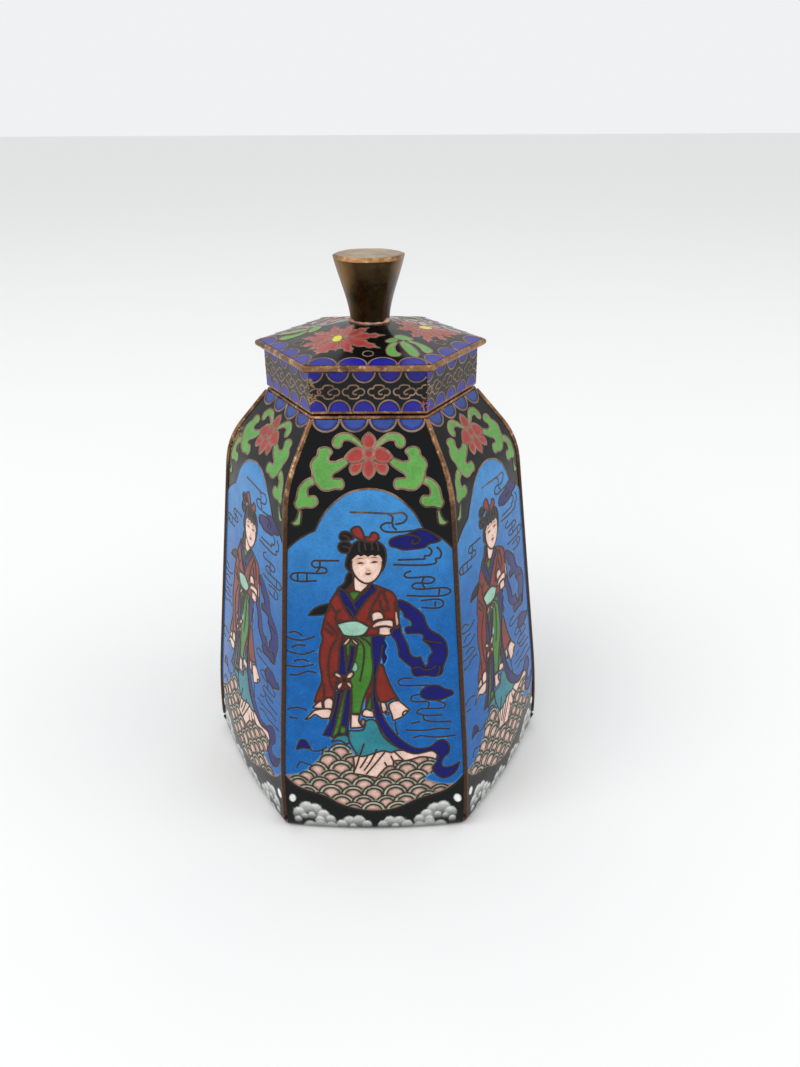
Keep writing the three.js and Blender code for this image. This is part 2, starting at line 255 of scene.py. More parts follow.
ROBE_ART = """
black|-7.6,53.8! -10.4,52.8 -11.8,51.2! -10,51.3 -7.9,51.6!
robe|1.1,40.7! 1.9,41 2.7,38.6 4.1,35 5.2,33.1! 4.1,33.4 2.7,32.7 1.4,32.7 .6,35.2 .7,38.6
cream|3.1,32.2! 4.1,32.9 5.2,32.9! 7.2,30.9! 5.7,29.3 3.9,28.5! 3.6,30 3.2,31.1
wire|5.8,29.6 6,30.4 6.9,30.7
cream|1.5,32.6! 2.3,32.6 2.8,30.9! 2,30.4
cream|2.3,30.2! 3.1,30.3 3,29.8
wire|4.4,28.4 4.4,27 4.9,25.2
robe|-6.4,56.1! -7.6,54.1 -8,52.6 -8.6,51.2 -9.1,49.4 -9.5,47.6 -9.3,46.3 -9.8,44.7 -10.1,41.5 -9.8,37.5
 -10.9,34.5 -11.5,32.6! -9.8,32.4 -7.6,33.4! -7.2,35.4 -6.4,40.2 -6,44.7 -5.4,47! -2,47 1.2,47.2
 3.6,47.6 5.2,49.3 5.1,51.8 5,53.8 4.1,55.9 2.7,56.7 1.1,57.4! -3,58 -5.6,57.3
wire|-6.6,46.3 -7.9,43.8 -8.4,40.2 -8.2,37.5 -7.7,35.2
wire|-9.4,36.6 -9.5,33.4
wire|-8.3,49.8 -7.2,48.4 -6.3,46.9
wire|-8.6,48.4 -7.4,47.2
wire|-5.8,52.4 -6.6,51.4 -6.6,50.2 -5.5,50.2
wire|-7.8,53.8 -6.6,51.9
wire|1.9,56.4 1.1,54.8 0,52.6 -.6,50.2
wire|2.2,56.2 2.9,54.3 3.2,52.3
wire|1.7,54.3 1.8,53.2 2.6,52
wire|4.4,53.9 4.7,51.8 4.8,49.6
cream|-11.9,31.2! -10.1,32.8 -9.9,31.1!
cream|-9.5,31.1! -9.5,32.9 -8.6,33.6 -7.8,33.1 -8,31.1!
cream|-13.5,28.4! -12.2,29.9 -11.4,30.7 -8.2,30.9 -8.6,29! -10,28.9 -11.4,29.7 -12.4,28.9
cream n|4.6,52 4.95,51.4 5.1,49.9 4.8,49.2 4.6,50.2
cream|0,51.4! .5,52 1.8,52 2.3,51.2 2.3,50.6 1.2,50.4 .2,49.9!
cream|.1,49.2! 1,50 2.7,50.4 4,50.2 4.1,48.7! 2.7,49.1 1.4,49 .3,48.7
cream|1.4,48.8! 3.2,48.9 3.9,47.9 3.4,47.2 1.3,47.3!
navy n|3.5,48.5 4,48.2 3.9,47.4 3.5,47.7
mint|-6.5,49.5! -4.5,50.1 -2.7,50.2 -1.6,49.7 -.4,48.9! -1.1,47.7 -2,47.1 -5.2,47.2 -5.8,48.1
cream|-4.2,46.8! -4.8,46.3 -5.5,45.2! -5,45.1 -4.1,46.1
cream|-3.7,46.8! -3.2,46.2 -2.5,45.4! -2.9,45.1 -3.7,46
cream|-5.7,38! -6.2,38.8 -7,39.2 -7.3,38.7 -6.6,38.1
cream|-5.1,38! -4.7,38.9 -3.9,39.4 -3.6,38.9 -4.2,38
cream|-5.7,37.2! -5.9,36.2 -6.6,35.5 -6.9,36.1 -6.4,36.9
cream|-5.1,37.1! -4.8,36.3 -4.1,35.8 -4,36.4 -4.4,37.1
umber n|-5.75,37.6 -5.45,37.95 -5.1,37.6 -5.4,37.2
"""
SCARF_ART = """
navy|4.9,54.4! 5.9,54.3 8,52.9 9.8,51.1 10.2,49.7 11.1,48.1 13,46.8 14.1,45.2 14.4,42.9 14,41.3 13.6,40!
 13.4,38.6 12.6,38.2 11.8,38.1 10.2,38.4 8.2,38.3 7.6,39.3 7.5,40.3! 6.1,41.6 5.2,42.7 5,44.3 4.5,46.1
 3.8,47.2 4.1,48.4 5.2,48.9 5,51.4
sky|5.2,52.8! 6,51.8 6.2,50.9! 7.2,50.3 7.6,49.6 7.5,49 6.5,48.8 6.3,48.2 6.7,47.4! 9.5,47.3 9.8,46.8
 9.7,46! 11.2,44.3 11.5,43.2! 10.8,42.3 10.7,41 10.2,40.3! 9.6,41.5 9.3,42.5! 8.5,42.3 7.5,42.8 6.8,45
 6.2,46.4 5.7,47.5 5.5,48.6 5.2,50
wire|7.6,39.8 8.8,40.3 9.8,39.7 11.2,39.7 12.3,40.4
wire|9.9,45.9 11.4,45.6 13.2,45.3
wire|12.4,38.3 12.9,39.2 12.9,40.4
navy|0,46.9! 1.2,47.2 2.6,46.9! 2,44.6 1.7,42.5 1.1,40.4 .6,37.7 .6,34.5 1.4,31.1 2.7,27.9 4.5,25.2
 6.8,22.9 8.6,21.9 11.4,22.2 12.7,23.4 14.1,23.6 15.1,22.2 15,20.4 14.1,19.5 13.6,18.1! 13.9,17.2 15,17
 16.4,17.5 17.3,18.2! 16.9,16.5 15.9,15 14.1,14.3 12.7,15.2 11.8,17 12.6,18.4 12.9,19.8 11.8,21.1
 10.2,20.9 8.6,20.6 6.8,21.1 4.1,22.9 2.3,25.2 .9,27.9 .2,31.1 0,34.5 .1,37.7 .2,40.4 0,44
navy n|2.3,46.2 2.9,45 2.5,43.6 2.9,42.4 2.2,41 1.9,42.6 2.1,44.6
"""
HEAD_ART = """
hair|-3.3,60.6! -4.4,59.4 -4.8,58 -6.2,56.8! -5.4,56.2 -4.2,56.8 -3.1,58.3!
skin|-3.1,59.2! -3.1,57 -2.9,56.1! -1.8,56! -.6,57.2! -.4,59.2!
grass|-4.1,56! -3,56.3 -1.8,56! -2.6,54.9 -3.3,54!
navy|-5.9,56.9! -5.7,55.2 -5.2,53.8 -4.5,52.2 -3.9,51.3 -3.2,50.4! -2.6,51.8 -1.8,53.1 -.4,55 1.1,56.5!
 .6,57.5 0,57.9! -.4,56.8 -2,55.2 -3.3,53.7! -4.1,55.2 -4.9,56.5!
wire|-4.6,53.3 -3.6,51.9 -3.2,51
wire|-3.3,53.7 -2.7,52.4
hair|-4,66.3! -4.9,66.1 -5.5,66.8 -5.2,67.7 -4.3,68 -3.3,67.5 -2.9,66.6
hair|-3.5,64.2! -4.3,63.8 -5.3,64 -5.8,64.9 -5.4,65.8 -4.4,66.1 -3.4,65.5
wire|-4.9,67.2 -4.1,67 -3.6,66.4
wire|-5,65.1 -4.2,65 -3.6,64.6
hair|-3.1,59.8! -4,60.4 -4.5,61.2 -4.3,62.8 -3.7,64.3 -2.9,65.7 -1.4,66.4 .2,66.5 1.6,65.9 2.6,64.9
 2.9,63.3 2.7,61.6 2.1,60.1! -.6,60.4
skin|-3.4,62 -3.4,60.9 -2.9,59.5 -2,58.4 -.8,57.8 .5,58.2 1.5,59.3 2.1,60.7 2.2,62.2 1.9,63.5 .9,64.5
 -.5,64.8 -1.9,64.5 -2.9,63.5
hair n|-3.7,61.9! -3.2,62.6 -2.8,63! -2.2,63.4 -1.7,63.1! -1,63.4 -.4,63! .3,63.4 .9,63.1! 1.5,63.4
 2,62.9! 2.4,61.8! 2.7,63.4 1.9,64.9 .2,65.7 -1.8,65.6 -3.3,64.4
wire|-1.9,65.9 -2,64.9 -1.8,64
wire|-.9,66.2 -.9,65.2 -.7,64.3
wire|.2,66.3 .4,65.2 .4,64.3
wire|1.2,65.9 1.5,65 1.5,64.2
scarlet|-3.4,68.3! -2.7,68.8 -1.9,68.9 -1.4,68.2 -1,67.1! -.1,66.9 .5,67.8 1.4,67.5 1.7,66.6! .6,65.9
 -.6,66 -2.2,66.6 -3.1,67.5
wire|-1,67.1 -.8,66.1
hair n|-2.45,61.75! -2.05,62 -1.55,62.02 -1.1,61.8! -1.55,61.7 -2.05,61.68
hair n|.1,61.95! .55,62.2 1.05,62.22 1.5,62! 1.05,61.9 .55,61.86
umber n|-2.5,62.55! -2,62.84 -1.1,62.74! -2,62.68
umber n|.05,62.86! .9,63.02 1.45,62.78! .9,62.86
rose n|-.62,60.64! -.4,60.46 -.1,60.52! -.36,60.34
scarlet n|-1,59.74! -.7,59.92 -.45,59.86 -.2,59.96 .18,59.82! -.1,59.56 -.45,59.46 -.78,59.54
"""
BASE_ART = """
umber .5|-18.2,14.6 -15.9,12.2 -10,9.9 -7.3,8.1 -4.1,6.9 0,6.3 4.5,7 9.1,9.3 14.1,10.9 16.4,12.5
 18.1,14.6
pearl n|-17.7,8.7 -17.5,9.8 -17,10.2 -16.4,9.9 -16.2,9.1 -16.5,8.3 -17.1,8
pearl n|16.2,9.2 16.7,10 17.4,9.8 17.9,8.9 17.8,8 17.2,7.7 16.5,8.2
"""
# Painted clouds along the foot, the hindmost first: how white, then middle and half width of each lobe.
CLOUD_LOBES = (
    (1.0, "-12.4,5.7,1.7 -14.2,6,1.8 -10.7,4.4,1.5 -15.8,4.9,1.4 -9.3,3.4,1.2 -13.2,4.5,.9 -14.7,4.2,.7 "
          "-16.1,3.2,.8 -11.5,3.2,1.1"),
    (1.0, "12.3,5.7,1.7 14.1,6,1.8 10.7,4.4,1.5 15.7,4.9,1.4 9.2,3.4,1.2 13,4.5,.9 14.6,4.2,.7 "
          "16.1,3.2,.8 11.3,3.2,1.1"),
    (0.9, "-5.4,2.9,1.5 -3.4,3,1.6 -7,2.1,1.3 -1.7,2.3,1.1 -4.6,1.8,.8 "
          "3.1,2.9,1.5 5,2.8,1.5 1.6,2.2,1.1 6.7,2,1.3 4.2,1.8,.8"),
    (0.65, "-13.6,1.2,1.5 -11.4,1.4,1.6 -9.2,1.2,1.5 13.6,1.2,1.5 11.4,1.4,1.6 9.2,1.2,1.5"),
)
CLOUD_STRETCH = 1.4
CLOUD_RIM = 0.16
CLOUD_TOP = 9.0
ROOF_ART = """
leaf|4.5,-10.5! 3.6,-12 3.2,-13.6 3.5,-15.3 4.4,-16 5.5,-15.9 5.8,-15.2 5,-14.3 4.7,-12.6 5.3,-10.9!
leaf|5.5,-10.7! 6,-12.4 6.8,-14.4 7.7,-15.8 8.7,-16.2 9,-15.1 8.4,-12.9 7.4,-11 6.3,-9.9!
leaf|7,-10.2! 8.4,-10.9 9.2,-12.1 9.7,-13.4 10.4,-13.9 11.2,-13.2 11.4,-11.9 10.4,-10.6 8.8,-9.6
 7.3,-9.3!
leaf|5.3,-10.3! 4.4,-10.9 3.4,-11 3,-10.4 3.4,-9.7 4.3,-9.2 5.2,-9.6!
leaf|4.6,-9.2! 4.8,-8 5.8,-7.4 7,-7.6 8,-8.3 7.6,-9.1 6.3,-9.7 5.3,-9.6!
"""
SCROLL = """
-1.95,0 -1.6,.55 -1,.6! -.75,1.1 0,1.25 .75,1.1 1,.6! 1.6,.55 1.95,0 1.6,-.55 1,-.6! .75,-1.1 0,-1.25
-.75,-1.1 -1,-.6! -1.6,-.55
"""
SCROLL_HOOK = "1,.6 .35,.3 -.1,-.1 .1,-.45 .6,-.4"


def bent_outline(start, corners, bends, end, steps=10):
    """A line through corner points, with each bend a quadratic curve."""
    points = [np.array(start, float)]
    stops = [np.array(stop, float) for stop in (start, *corners, end)]
    for place, (before, after) in enumerate(bends):
        back, corner, ahead = stops[place:place + 3]
        enter = corner + (back - corner) / np.linalg.norm(back - corner) * before
        leave = corner + (ahead - corner) / np.linalg.norm(ahead - corner) * after
        for share in np.linspace(0, 1, steps + 1):
            points.append((1 - share) ** 2 * enter + 2 * share * (1 - share) * corner + share ** 2 * leave)
    points.append(stops[-1])
    return np.array(points)


def lengths_along(points):
    """How far along a line each of its points is."""
    return np.concatenate([[0], np.cumsum(np.linalg.norm(np.diff(points, axis=0), axis=1))])


def bow_at(height):
    """How far the middle of a face stands out at a height."""
    return settings().face_bow / MM * np.clip(1 - height / RIM_HEIGHT, 0, 1)


def settings():
    """The jar's sizes, which the sidebar shows."""
    return bpy.context.scene.jar_sizes


OUTSIDE = bent_outline(FOOT, (HEEL, BELLY, SHOULDER), BENDS, RIM)
OUTSIDE_LENGTH = lengths_along(OUTSIDE)


def outside_at(length):
    """Half width, height and outward direction at a length up the jar's wall."""
    half = np.interp(length, OUTSIDE_LENGTH, OUTSIDE[:, 0])
    height = np.interp(length, OUTSIDE_LENGTH, OUTSIDE[:, 1])
    reach = 0.5
    ahead = [np.interp(length + reach, OUTSIDE_LENGTH, column) for column in OUTSIDE.T]
    back = [np.interp(length - reach, OUTSIDE_LENGTH, column) for column in OUTSIDE.T]
    run, rise = ahead[0] - back[0], ahead[1] - back[1]
    size = np.maximum(np.hypot(run, rise), 1e-9)
    return half, height, rise / size, -run / size


def on_wall(across, length, lift):
    """A point of the front face, bowed as the metal is, in millimetres."""
    half, height, outward, upward = outside_at(length)
    side = half * math.tan(SIDE_ANGLE / 2)
    reach = half + bow_at(height) * (1 - np.clip(across / side, -1, 1) ** 2) + lift * outward
    return np.stack([across, -reach, height + lift * upward], -1)


def roof_outline(lower=0.0):
    """The line of the roof from the eave in to the knob's seat."""
    start, end = np.array([EAVE_HALF - EAVE_EDGE, EAVE_TOP]), np.array([ROOF_SEAT, ROOF_TOP])
    middle = np.array([(start[0] + end[0]) / 2, EAVE_TOP + (ROOF_TOP - EAVE_TOP) * ROOF_FULLNESS])
    share = np.linspace(0, 1, 24)[:, None]
    line = (1 - share) ** 2 * start + 2 * share * (1 - share) * middle + share ** 2 * end
    return line - (0, lower)


def roof_softness(half):
    """How round the roof's section is: flat sides at the eave, softer towards the knob."""
    return ROOF_SOFTNESS * np.clip(1 - (half - ROOF_SEAT) / (EAVE_HALF - ROOF_SEAT), 0, 1)


def on_roof(across, along, lift):
    """A point of the roof above a point of its plan, in millimetres."""
    radius = np.hypot(across, along)
    angle = np.arctan2(along, across) - FRONT + SIDE_ANGLE / 2
    angle = np.mod(angle, SIDE_ANGLE) - SIDE_ANGLE / 2
    half = radius.copy()
    for _ in range(8):
        soft = roof_softness(half)
        half = radius / ((1 - soft) / np.cos(angle) + soft * ROUND_TO_FLAT)
    line = roof_outline()[::-1]
    height = np.interp(half, line[:, 0], line[:, 1])
    return np.stack([across, along, height + lift], -1)


def on_skirt(across, along, lift):
    """A point of the lid's skirt on its front side, in millimetres."""
    flat = np.zeros_like(across)
    return np.stack([across, flat - SKIRT_HALF - lift, along + SKIRT_BOTTOM], -1)


def art_lines(art):
    """The cells and wires of a block of artwork, one by one."""
    return art.strip().replace("\n ", " ").splitlines()


def read_points(text):
    """Points and sharp corners from a line of artwork."""
    points, corners = [], []
    for word in text.split():
        corners.append(word.endswith("!"))
        points.append([float(value) for value in word.rstrip("!").split(",")])
    return np.array(points), corners


def smooth(text, closed, mirror=False, step=SMOOTH_STEP):
    """A curve through the points of a line of artwork, as evenly spaced points."""
    points, corners = read_points(text) if isinstance(text, str) else text
    if mirror:
        points = points * (-1, 1)
    count = len(points)
    spans = range(count if closed else count - 1)
    result = []
    for place in spans:
        p1, p2 = points[place], points[(place + 1) % count]
        p0 = points[place - 1] if closed or place else p1
        p3 = points[(place + 2) % count] if closed or place + 2 < count else p2
        sharp1 = corners[place] or (not closed and place == 0)
        sharp2 = corners[(place + 1) % count] or (not closed and place + 2 == count)
        chord = np.linalg.norm(p2 - p1)
        k1 = max(np.linalg.norm(p1 - p0), 1e-6) ** 0.5
        k2 = max(chord, 1e-6) ** 0.5
        k3 = max(np.linalg.norm(p3 - p2), 1e-6) ** 0.5
        m1 = ((p1 - p0) / k1 - (p2 - p0) / (k1 + k2) + (p2 - p1) / k2) * k2
        m2 = ((p2 - p1) / k2 - (p3 - p1) / (k2 + k3) + (p3 - p2) / k3) * k2
        if sharp1 and sharp2:
            m1 = m2 = p2 - p1
        elif sharp1:
            m1 = 1.5 * (p2 - p1) - 0.5 * m2
        elif sharp2:
            m2 = 1.5 * (p2 - p1) - 0.5 * m1
        pieces = max(2, int(math.ceil(chord / step)))
        t = (np.arange(pieces) / pieces)[:, None]
        result.append(
            (2 * t ** 3 - 3 * t ** 2 + 1) * p1 + (t ** 3 - 2 * t ** 2 + t) * m1
            + (3 * t ** 2 - 2 * t ** 3) * p2 + (t ** 3 - t ** 2) * m2
        )
    if not closed:
        result.append(points[-1][None])
    return np.concatenate(result)


def inside(points, outline):
    """Which points lie inside a closed outline."""
    result = np.zeros(len(points), bool)
    low, high = outline.min(0), outline.max(0)
    near = np.where(((points >= low) & (points <= high)).all(1))[0]
    if len(near) == 0:
        return result
    x, y = points[near, 0][:, None], points[near, 1][:, None]
    a, b = outline, np.roll(outline, -1, 0)
    crosses = (a[:, 1] > y) != (b[:, 1] > y)
    rise = np.where(b[:, 1] == a[:, 1], 1e-12, b[:, 1] - a[:, 1])
    left = x < (b[:, 0] - a[:, 0]) * (y - a[:, 1]) / rise + a[:, 0]
    result[near] = (crosses & left).sum(1) % 2 == 1
    return result


def stroke(path, width):
    """The outline of a brush stroke along a path, rounded at both ends."""
    along = np.gradient(path, axis=0)
    along /= np.maximum(np.linalg.norm(along, axis=1), 1e-9)[:, None]
    side = np.stack([-along[:, 1], along[:, 0]], -1) * width / 2
    turn = np.linspace(math.pi / 2, -math.pi / 2, 7)[1:-1, None]
    tip = path[-1] + along[-1] * width / 2 * np.cos(turn) + side[-1] * np.sin(turn)
    tail = path[0] - along[0] * width / 2 * np.cos(turn) - side[0] * np.sin(turn)
    return np.concatenate([path + side, tip, (path - side)[::-1], tail])


def cloud_whiteness(flat):
    """How white the painted clouds are at points of a face: each lobe is bright above and fades below."""
    white = np.zeros(len(flat))
    for peak, text in CLOUD_LOBES:
        for x, y, half_width in read_points(text)[0]:
            rise = (flat[:, 1] - y) / (half_width * CLOUD_STRETCH)
            gap = np.hypot((flat[:, 0] - x) / half_width, rise)
            cover = np.clip((1 - gap) / CLOUD_RIM, 0, 1)
            shade = peak * np.clip(0.5 + 0.5 * rise, 0, 1) ** 2
            white += (shade - white) * cover
    return white


class Inlay:
    """A sheet of enamel cells on one surface, with the soldered wires between them."""

    def __init__(self, border, place, ground, grid=GRID, fine_below=-math.inf):
        self.border = border
        self.place = place
        self.grid = grid
        self.fine_below = fine_below
        self.cells = [(ground, border, None)]
        self.wires = []
        self.runs = None
        self.flat = None

    def cell(self, glaze, outline, wire=True, clip=None):
        """Lays a cell over what is there already."""
        self.cells.append((glaze, outline, clip))
        if wire:
            closed = np.concatenate([outline, outline[:1]])
            self.wires.append((closed, len(self.cells), clip))

    def wire(self, path):
        """Lays an open wire over what is there already."""
        self.wires.append((path, len(self.cells), None))

    def draw(self, art):
        """Lays the cells and wires of a block of artwork."""
        for line in art_lines(art):
            head, points = line.split("|")
            glaze, *flags = head.split()
            width = next((float(flag) for flag in flags if flag[-1].isdigit()), None)
            for mirror in (False, True) if "m" in flags else (False,):
                if glaze == "wire":
                    self.wire(smooth(points, False, mirror))
                elif width:
                    self.cell(glaze, stroke(smooth(points, False, mirror), width), False)
                else:
                    step = FINE_STEP if "n" in flags else SMOOTH_STEP
                    self.cell(glaze, smooth(points, True, mirror, step), "n" not in flags)

    def triangulate(self, loops, spacing, fine_below=-math.inf):
        """Triangles of the border's inside that keep every loop's edges, half as big low down."""
        points, edges = [], []
        for loop in loops:
            first = len(points)
            points.extend(map(tuple, loop))
            edges.extend((first + i, first + (i + 1) % len(loop)) for i in range(len(loop)))
        tree = kdtree.KDTree(len(points))
        for place, (x, y) in enumerate(points):
            tree.insert((x, y, 0), place)
        tree.balance()
        low, high = self.border.min(0), self.border.max(0)
        y, odd = low[1], False
        while y < high[1]:
            gap = spacing / 2 if y < fine_below else spacing
            for x in np.arange(low[0], high[0], gap) + (gap / 2 if odd else 0):
                if tree.find((x, y, 0))[2] > gap * 0.45:
                    points.append((x, y))
            y += gap * math.sin(SIDE_ANGLE)
            odd = not odd
        found = geometry.delaunay_2d_cdt([Vector(p) for p in points], edges, [], 0, 1e-5)
        vertices = np.array([tuple(v) for v in found[0]])
        triangles = np.array([tuple(face) for face in found[2]])
        centres = vertices[triangles].mean(1)
        triangles = triangles[inside(centres, self.border)]
        return vertices, triangles

    def edge_distances(self, flat, triangles, glaze):
        """How far each point is from the nearest wire or change of glaze."""
        lowest = np.full(len(flat), len(self.cells))
        highest = np.full(len(flat), -1)
        for column in triangles.T:
            np.minimum.at(lowest, column, glaze)
            np.maximum.at(highest, column, glaze)
        marks = np.concatenate([flat[lowest != highest], *self.shown_runs()])
        tree = kdtree.KDTree(len(marks))
        for place, (x, y) in enumerate(marks):
            tree.insert((x, y, 0), place)
        tree.balance()
        return np.array([tree.find((x, y, 0))[2] for x, y in flat])

    def sheet(self):
        """The sheet as one closed slab: points, triangles, glaze of each, and distance to a wire."""
        loops = [self.border]
        loops += [outline for _, outline, _ in self.cells[1:]]
        clips = {id(clip): clip for _, _, clip in self.cells if clip is not None}
        loops += list(clips.values())
        flat, triangles = self.triangulate(loops, self.grid, self.fine_below)
        used, triangles = np.unique(triangles, return_inverse=True)
        flat, triangles = flat[used], triangles.reshape(-1, 3)
        self.flat = flat
        centres = flat[triangles].mean(1)
        names = list(dict.fromkeys(glaze for glaze, _, _ in self.cells))
        glaze = np.zeros(len(triangles), int)
        for name, outline, clip in self.cells[1:]:
            covered = inside(centres, outline)
            if clip is not None:
                covered &= inside(centres, clip)
            glaze[covered] = names.index(name)
        distance = self.edge_distances(flat, triangles, glaze)
        edges = np.concatenate([triangles[:, [0, 1]], triangles[:, [1, 2]], triangles[:, [2, 0]]])
        keys = {(a, b) for a, b in edges.tolist()}
        ahead = {a: b for a, b in keys if (b, a) not in keys}
        loop = [next(iter(ahead))]
        while ahead[loop[-1]] != loop[0]:
            loop.append(ahead[loop[-1]])
        rim = flat[loop]
        under, under_triangles = self.triangulate([rim], self.grid * 3)
        top = self.place(flat[:, 0], flat[:, 1], np.zeros(len(flat)))
        bottom = self.place(under[:, 0], under[:, 1], np.full(len(under), -SHEET_DEPTH))
        offset = len(flat)
        walls = []
        for i, a in enumerate(loop):
            b = loop[(i + 1) % len(loop)]
            c, d = offset + i, offset + (i + 1) % len(loop)
            walls += [(a, c, d), (a, d, b)]
        faces = np.concatenate([triangles, under_triangles[:, ::-1] + offset, np.array(walls)])
        glaze = np.concatenate([glaze, np.zeros(len(faces) - len(triangles), int)])
        points = np.concatenate([top, bottom])
        distance = np.concatenate([distance, np.zeros(len(under))])
        return points, faces, [names[i] for i in glaze], distance

    def visible_runs(self, path, level, clip):
        """The stretches of a wire that no later cell covers."""
        seen = inside(path, self.border)
        if clip is not None:
            seen &= inside(path, clip)
        for _, outline, other in self.cells[level:]:
            hidden = inside(path, outline)
            if other is not None:
                hidden &= inside(path, other)
            seen &= ~hidden
        run = []
        for point, shown in zip(path, seen):
            if shown:
                run.append(point)
            elif run:
                yield np.array(run)
                run = []
        if run:
            yield np.array(run)

    def shown_runs(self):
        """Every stretch of wire that can be seen."""
        if self.runs is None:
            self.runs = [run for wire in self.wires for run in self.visible_runs(*wire) if len(run) > 1]
        return self.runs

    def wire_mesh(self, share=1.0):
        """All the wires as closed ribbons, at a share of the full width: points and faces."""
        width = settings().wire_width / MM * share
        proud = settings().wire_proud / MM
        left = [(-0.5, -WIRE_SINK)] + [(across, rise * proud) for across, rise in WIRE_CROWN]
        section = left + [(-across, lift) for across, lift in reversed(left)]
        points, faces, total = [], [], 0
        for run in self.shown_runs():
            closed = len(run) > 4 and np.linalg.norm(run[0] - run[-1]) < 1e-6
            line = run[:-1] if closed else run
            ahead = np.roll(line, -1, 0) - np.roll(line, 1, 0)
            if not closed:
                ahead[0], ahead[-1] = line[1] - line[0], line[-1] - line[-2]
            size = np.maximum(np.linalg.norm(ahead, axis=1), 1e-9)[:, None]
            side = np.stack([-ahead[:, 1], ahead[:, 0]], -1) / size
            count, around = len(line), len(section)
            ring = []
            for across, lift in section:
                moved = line - side * across * width
                ring.append(self.place(moved[:, 0], moved[:, 1], np.full(count, lift)))
            points.append(np.stack(ring, 1).reshape(-1, 3))
            for i in range(count if closed else count - 1):
                a, b = total + i * around, total + ((i + 1) % count) * around
                for k in range(around):
                    j = (k + 1) % around
                    faces.append((a + k, a + j, b + j, b + k))
            if not closed:
                faces.append(tuple(total + k for k in reversed(range(around))))
                last = total + (count - 1) * around
                faces.append(tuple(last + k for k in range(around)))
            total += count * around
        return np.concatenate(points), faces


def turned(points, angle):
    """Points turned about the upright axis."""
    cos, sin = math.cos(angle), math.sin(angle)
    x, y, z = points.T
    return np.stack([x * cos - y * sin, x * sin + y * cos, z], -1)


def on_every_side(points, faces):
    """A form of the front side and its copies on the other sides, as one set of points and faces."""
    whole = np.concatenate([turned(points, side * SIDE_ANGLE) for side in range(SIDES)])
    return whole, [tuple(point + side * len(points) for point in corners)
                   for side in range(SIDES) for corners in faces]


def make_piece(name, points, faces, materials, slots=None, distance=None, sharp=40, clouds=None):
    """A mesh object at the origin from points in millimetres, with its sharp angle in degrees."""
    mesh = bpy.data.meshes.new(name)
    mesh.from_pydata((np.asarray(points) * MM).tolist(), [], [tuple(map(int, f)) for f in faces])
    for material in materials:
        mesh.materials.append(material)
    if slots is not None:
        mesh.polygons.foreach_set("material_index", slots)
    for label, values in (("edge_distance", distance), ("painted_cloud", clouds)):
        if values is not None:
            layer = mesh.attributes.new(label, "FLOAT", "POINT")
            layer.data.foreach_set("value", np.asarray(values, np.float32))
    mesh.shade_smooth()
    mesh.set_sharp_from_angle(angle=math.radians(sharp))
    mesh.update()
    piece = bpy.data.objects.new(name, mesh)
    bpy.context.scene.collection.objects.link(piece)
    return piece


def settle(piece, replaces=None):
    """Declares what a piece rides on and stands for."""
    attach(piece, "root")
    if replaces:
        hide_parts(replaces)


def hexagon_ring(half, height, bow=0.0, soft=0.0, turn=0.0, steps=10):
    """Points round one level of a six-sided form, counter-clockwise from above."""
    points = []
    side = half * math.tan(SIDE_ANGLE / 2)
    for face in range(SIDES):
        angle = FRONT + face * SIDE_ANGLE + turn
        for step in range(steps):
            across = side * (2 * step / steps - 1)
            outward = half + bow * (1 - (across / side) ** 2)
            radius = math.hypot(across, outward)
            scale = 1 + soft * (half * ROUND_TO_FLAT / radius - 1)
            x, y = outward * scale, across * scale
            points.append((
                x * math.cos(angle) - y * math.sin(angle),
                x * math.sin(angle) + y * math.cos(angle),
                height,
            ))
    return points


def loft(rings, closed=False):
    """A closed skin through rings, and which ring each face starts from."""
    around = len(rings[0])
    points = [point for ring in rings for point in ring]
    faces, starts = [], []
    spans = len(rings) if closed else len(rings) - 1
    for row in range(spans):
        above = (row + 1) % len(rings)
        for step in range(around):
            ahead = (step + 1) % around
            faces.append((row * around + step, row * around + ahead,
                          above * around + ahead, above * around + step))
            starts.append(row)
    if not closed:
        first, last = len(points), len(points) + 1
        points.append((0, 0, rings[0][0][2]))
        points.append((0, 0, rings[-1][0][2]))
        for step in range(around):
            ahead = (step + 1) % around
            faces.append((first, ahead, step))
            starts.append(0)
            top = (len(rings) - 1) * around
            faces.append((last, top + step, top + ahead))
            starts.append(len(rings) - 1)
    return points, faces, starts


class Rings:
    """The rings of a lofted form, each with the material slot of the band that starts at it."""

    def __init__(self):
        self.rings = []
        self.slots = []

    def add(self, ring, slot=COPPER):
        self.rings.append(ring)
        self.slots.append(slot)

    def piece(self, name, materials, sharp=35):
        """The finished form as a mesh object."""
        points, faces, starts = loft(self.rings)
        slots = [self.slots[start] for start in starts]
        return make_piece(name, points, faces, materials, slots, sharp=sharp)


class Value:
    """A shader number that adds its Math nodes when it is used in an expression."""

    def __init__(self, recipe, socket):
        self.recipe = recipe
        self.socket = socket

    def maths(self, operation, first, second):
        return self.recipe.node("ShaderNodeMath", {0: first, 1: second}, operation=operation)["Value"]

    def __add__(self, other):
        return self.maths("ADD", self, other)

    __radd__ = __add__

    def __mul__(self, other):
        return self.maths("MULTIPLY", self, other)

    __rmul__ = __mul__

    def __sub__(self, other):
        return self.maths("SUBTRACT", self, other)

    def __rsub__(self, other):
        return self.maths("SUBTRACT", other, self)

    def between(self, low, high):
        """0 below low, 1 above high, and smooth in between."""
        inputs = {"Value": self, "From Min": low, "From Max": high}
        return self.recipe.node("ShaderNodeMapRange", inputs, interpolation_type="SMOOTHSTEP")["Result"]


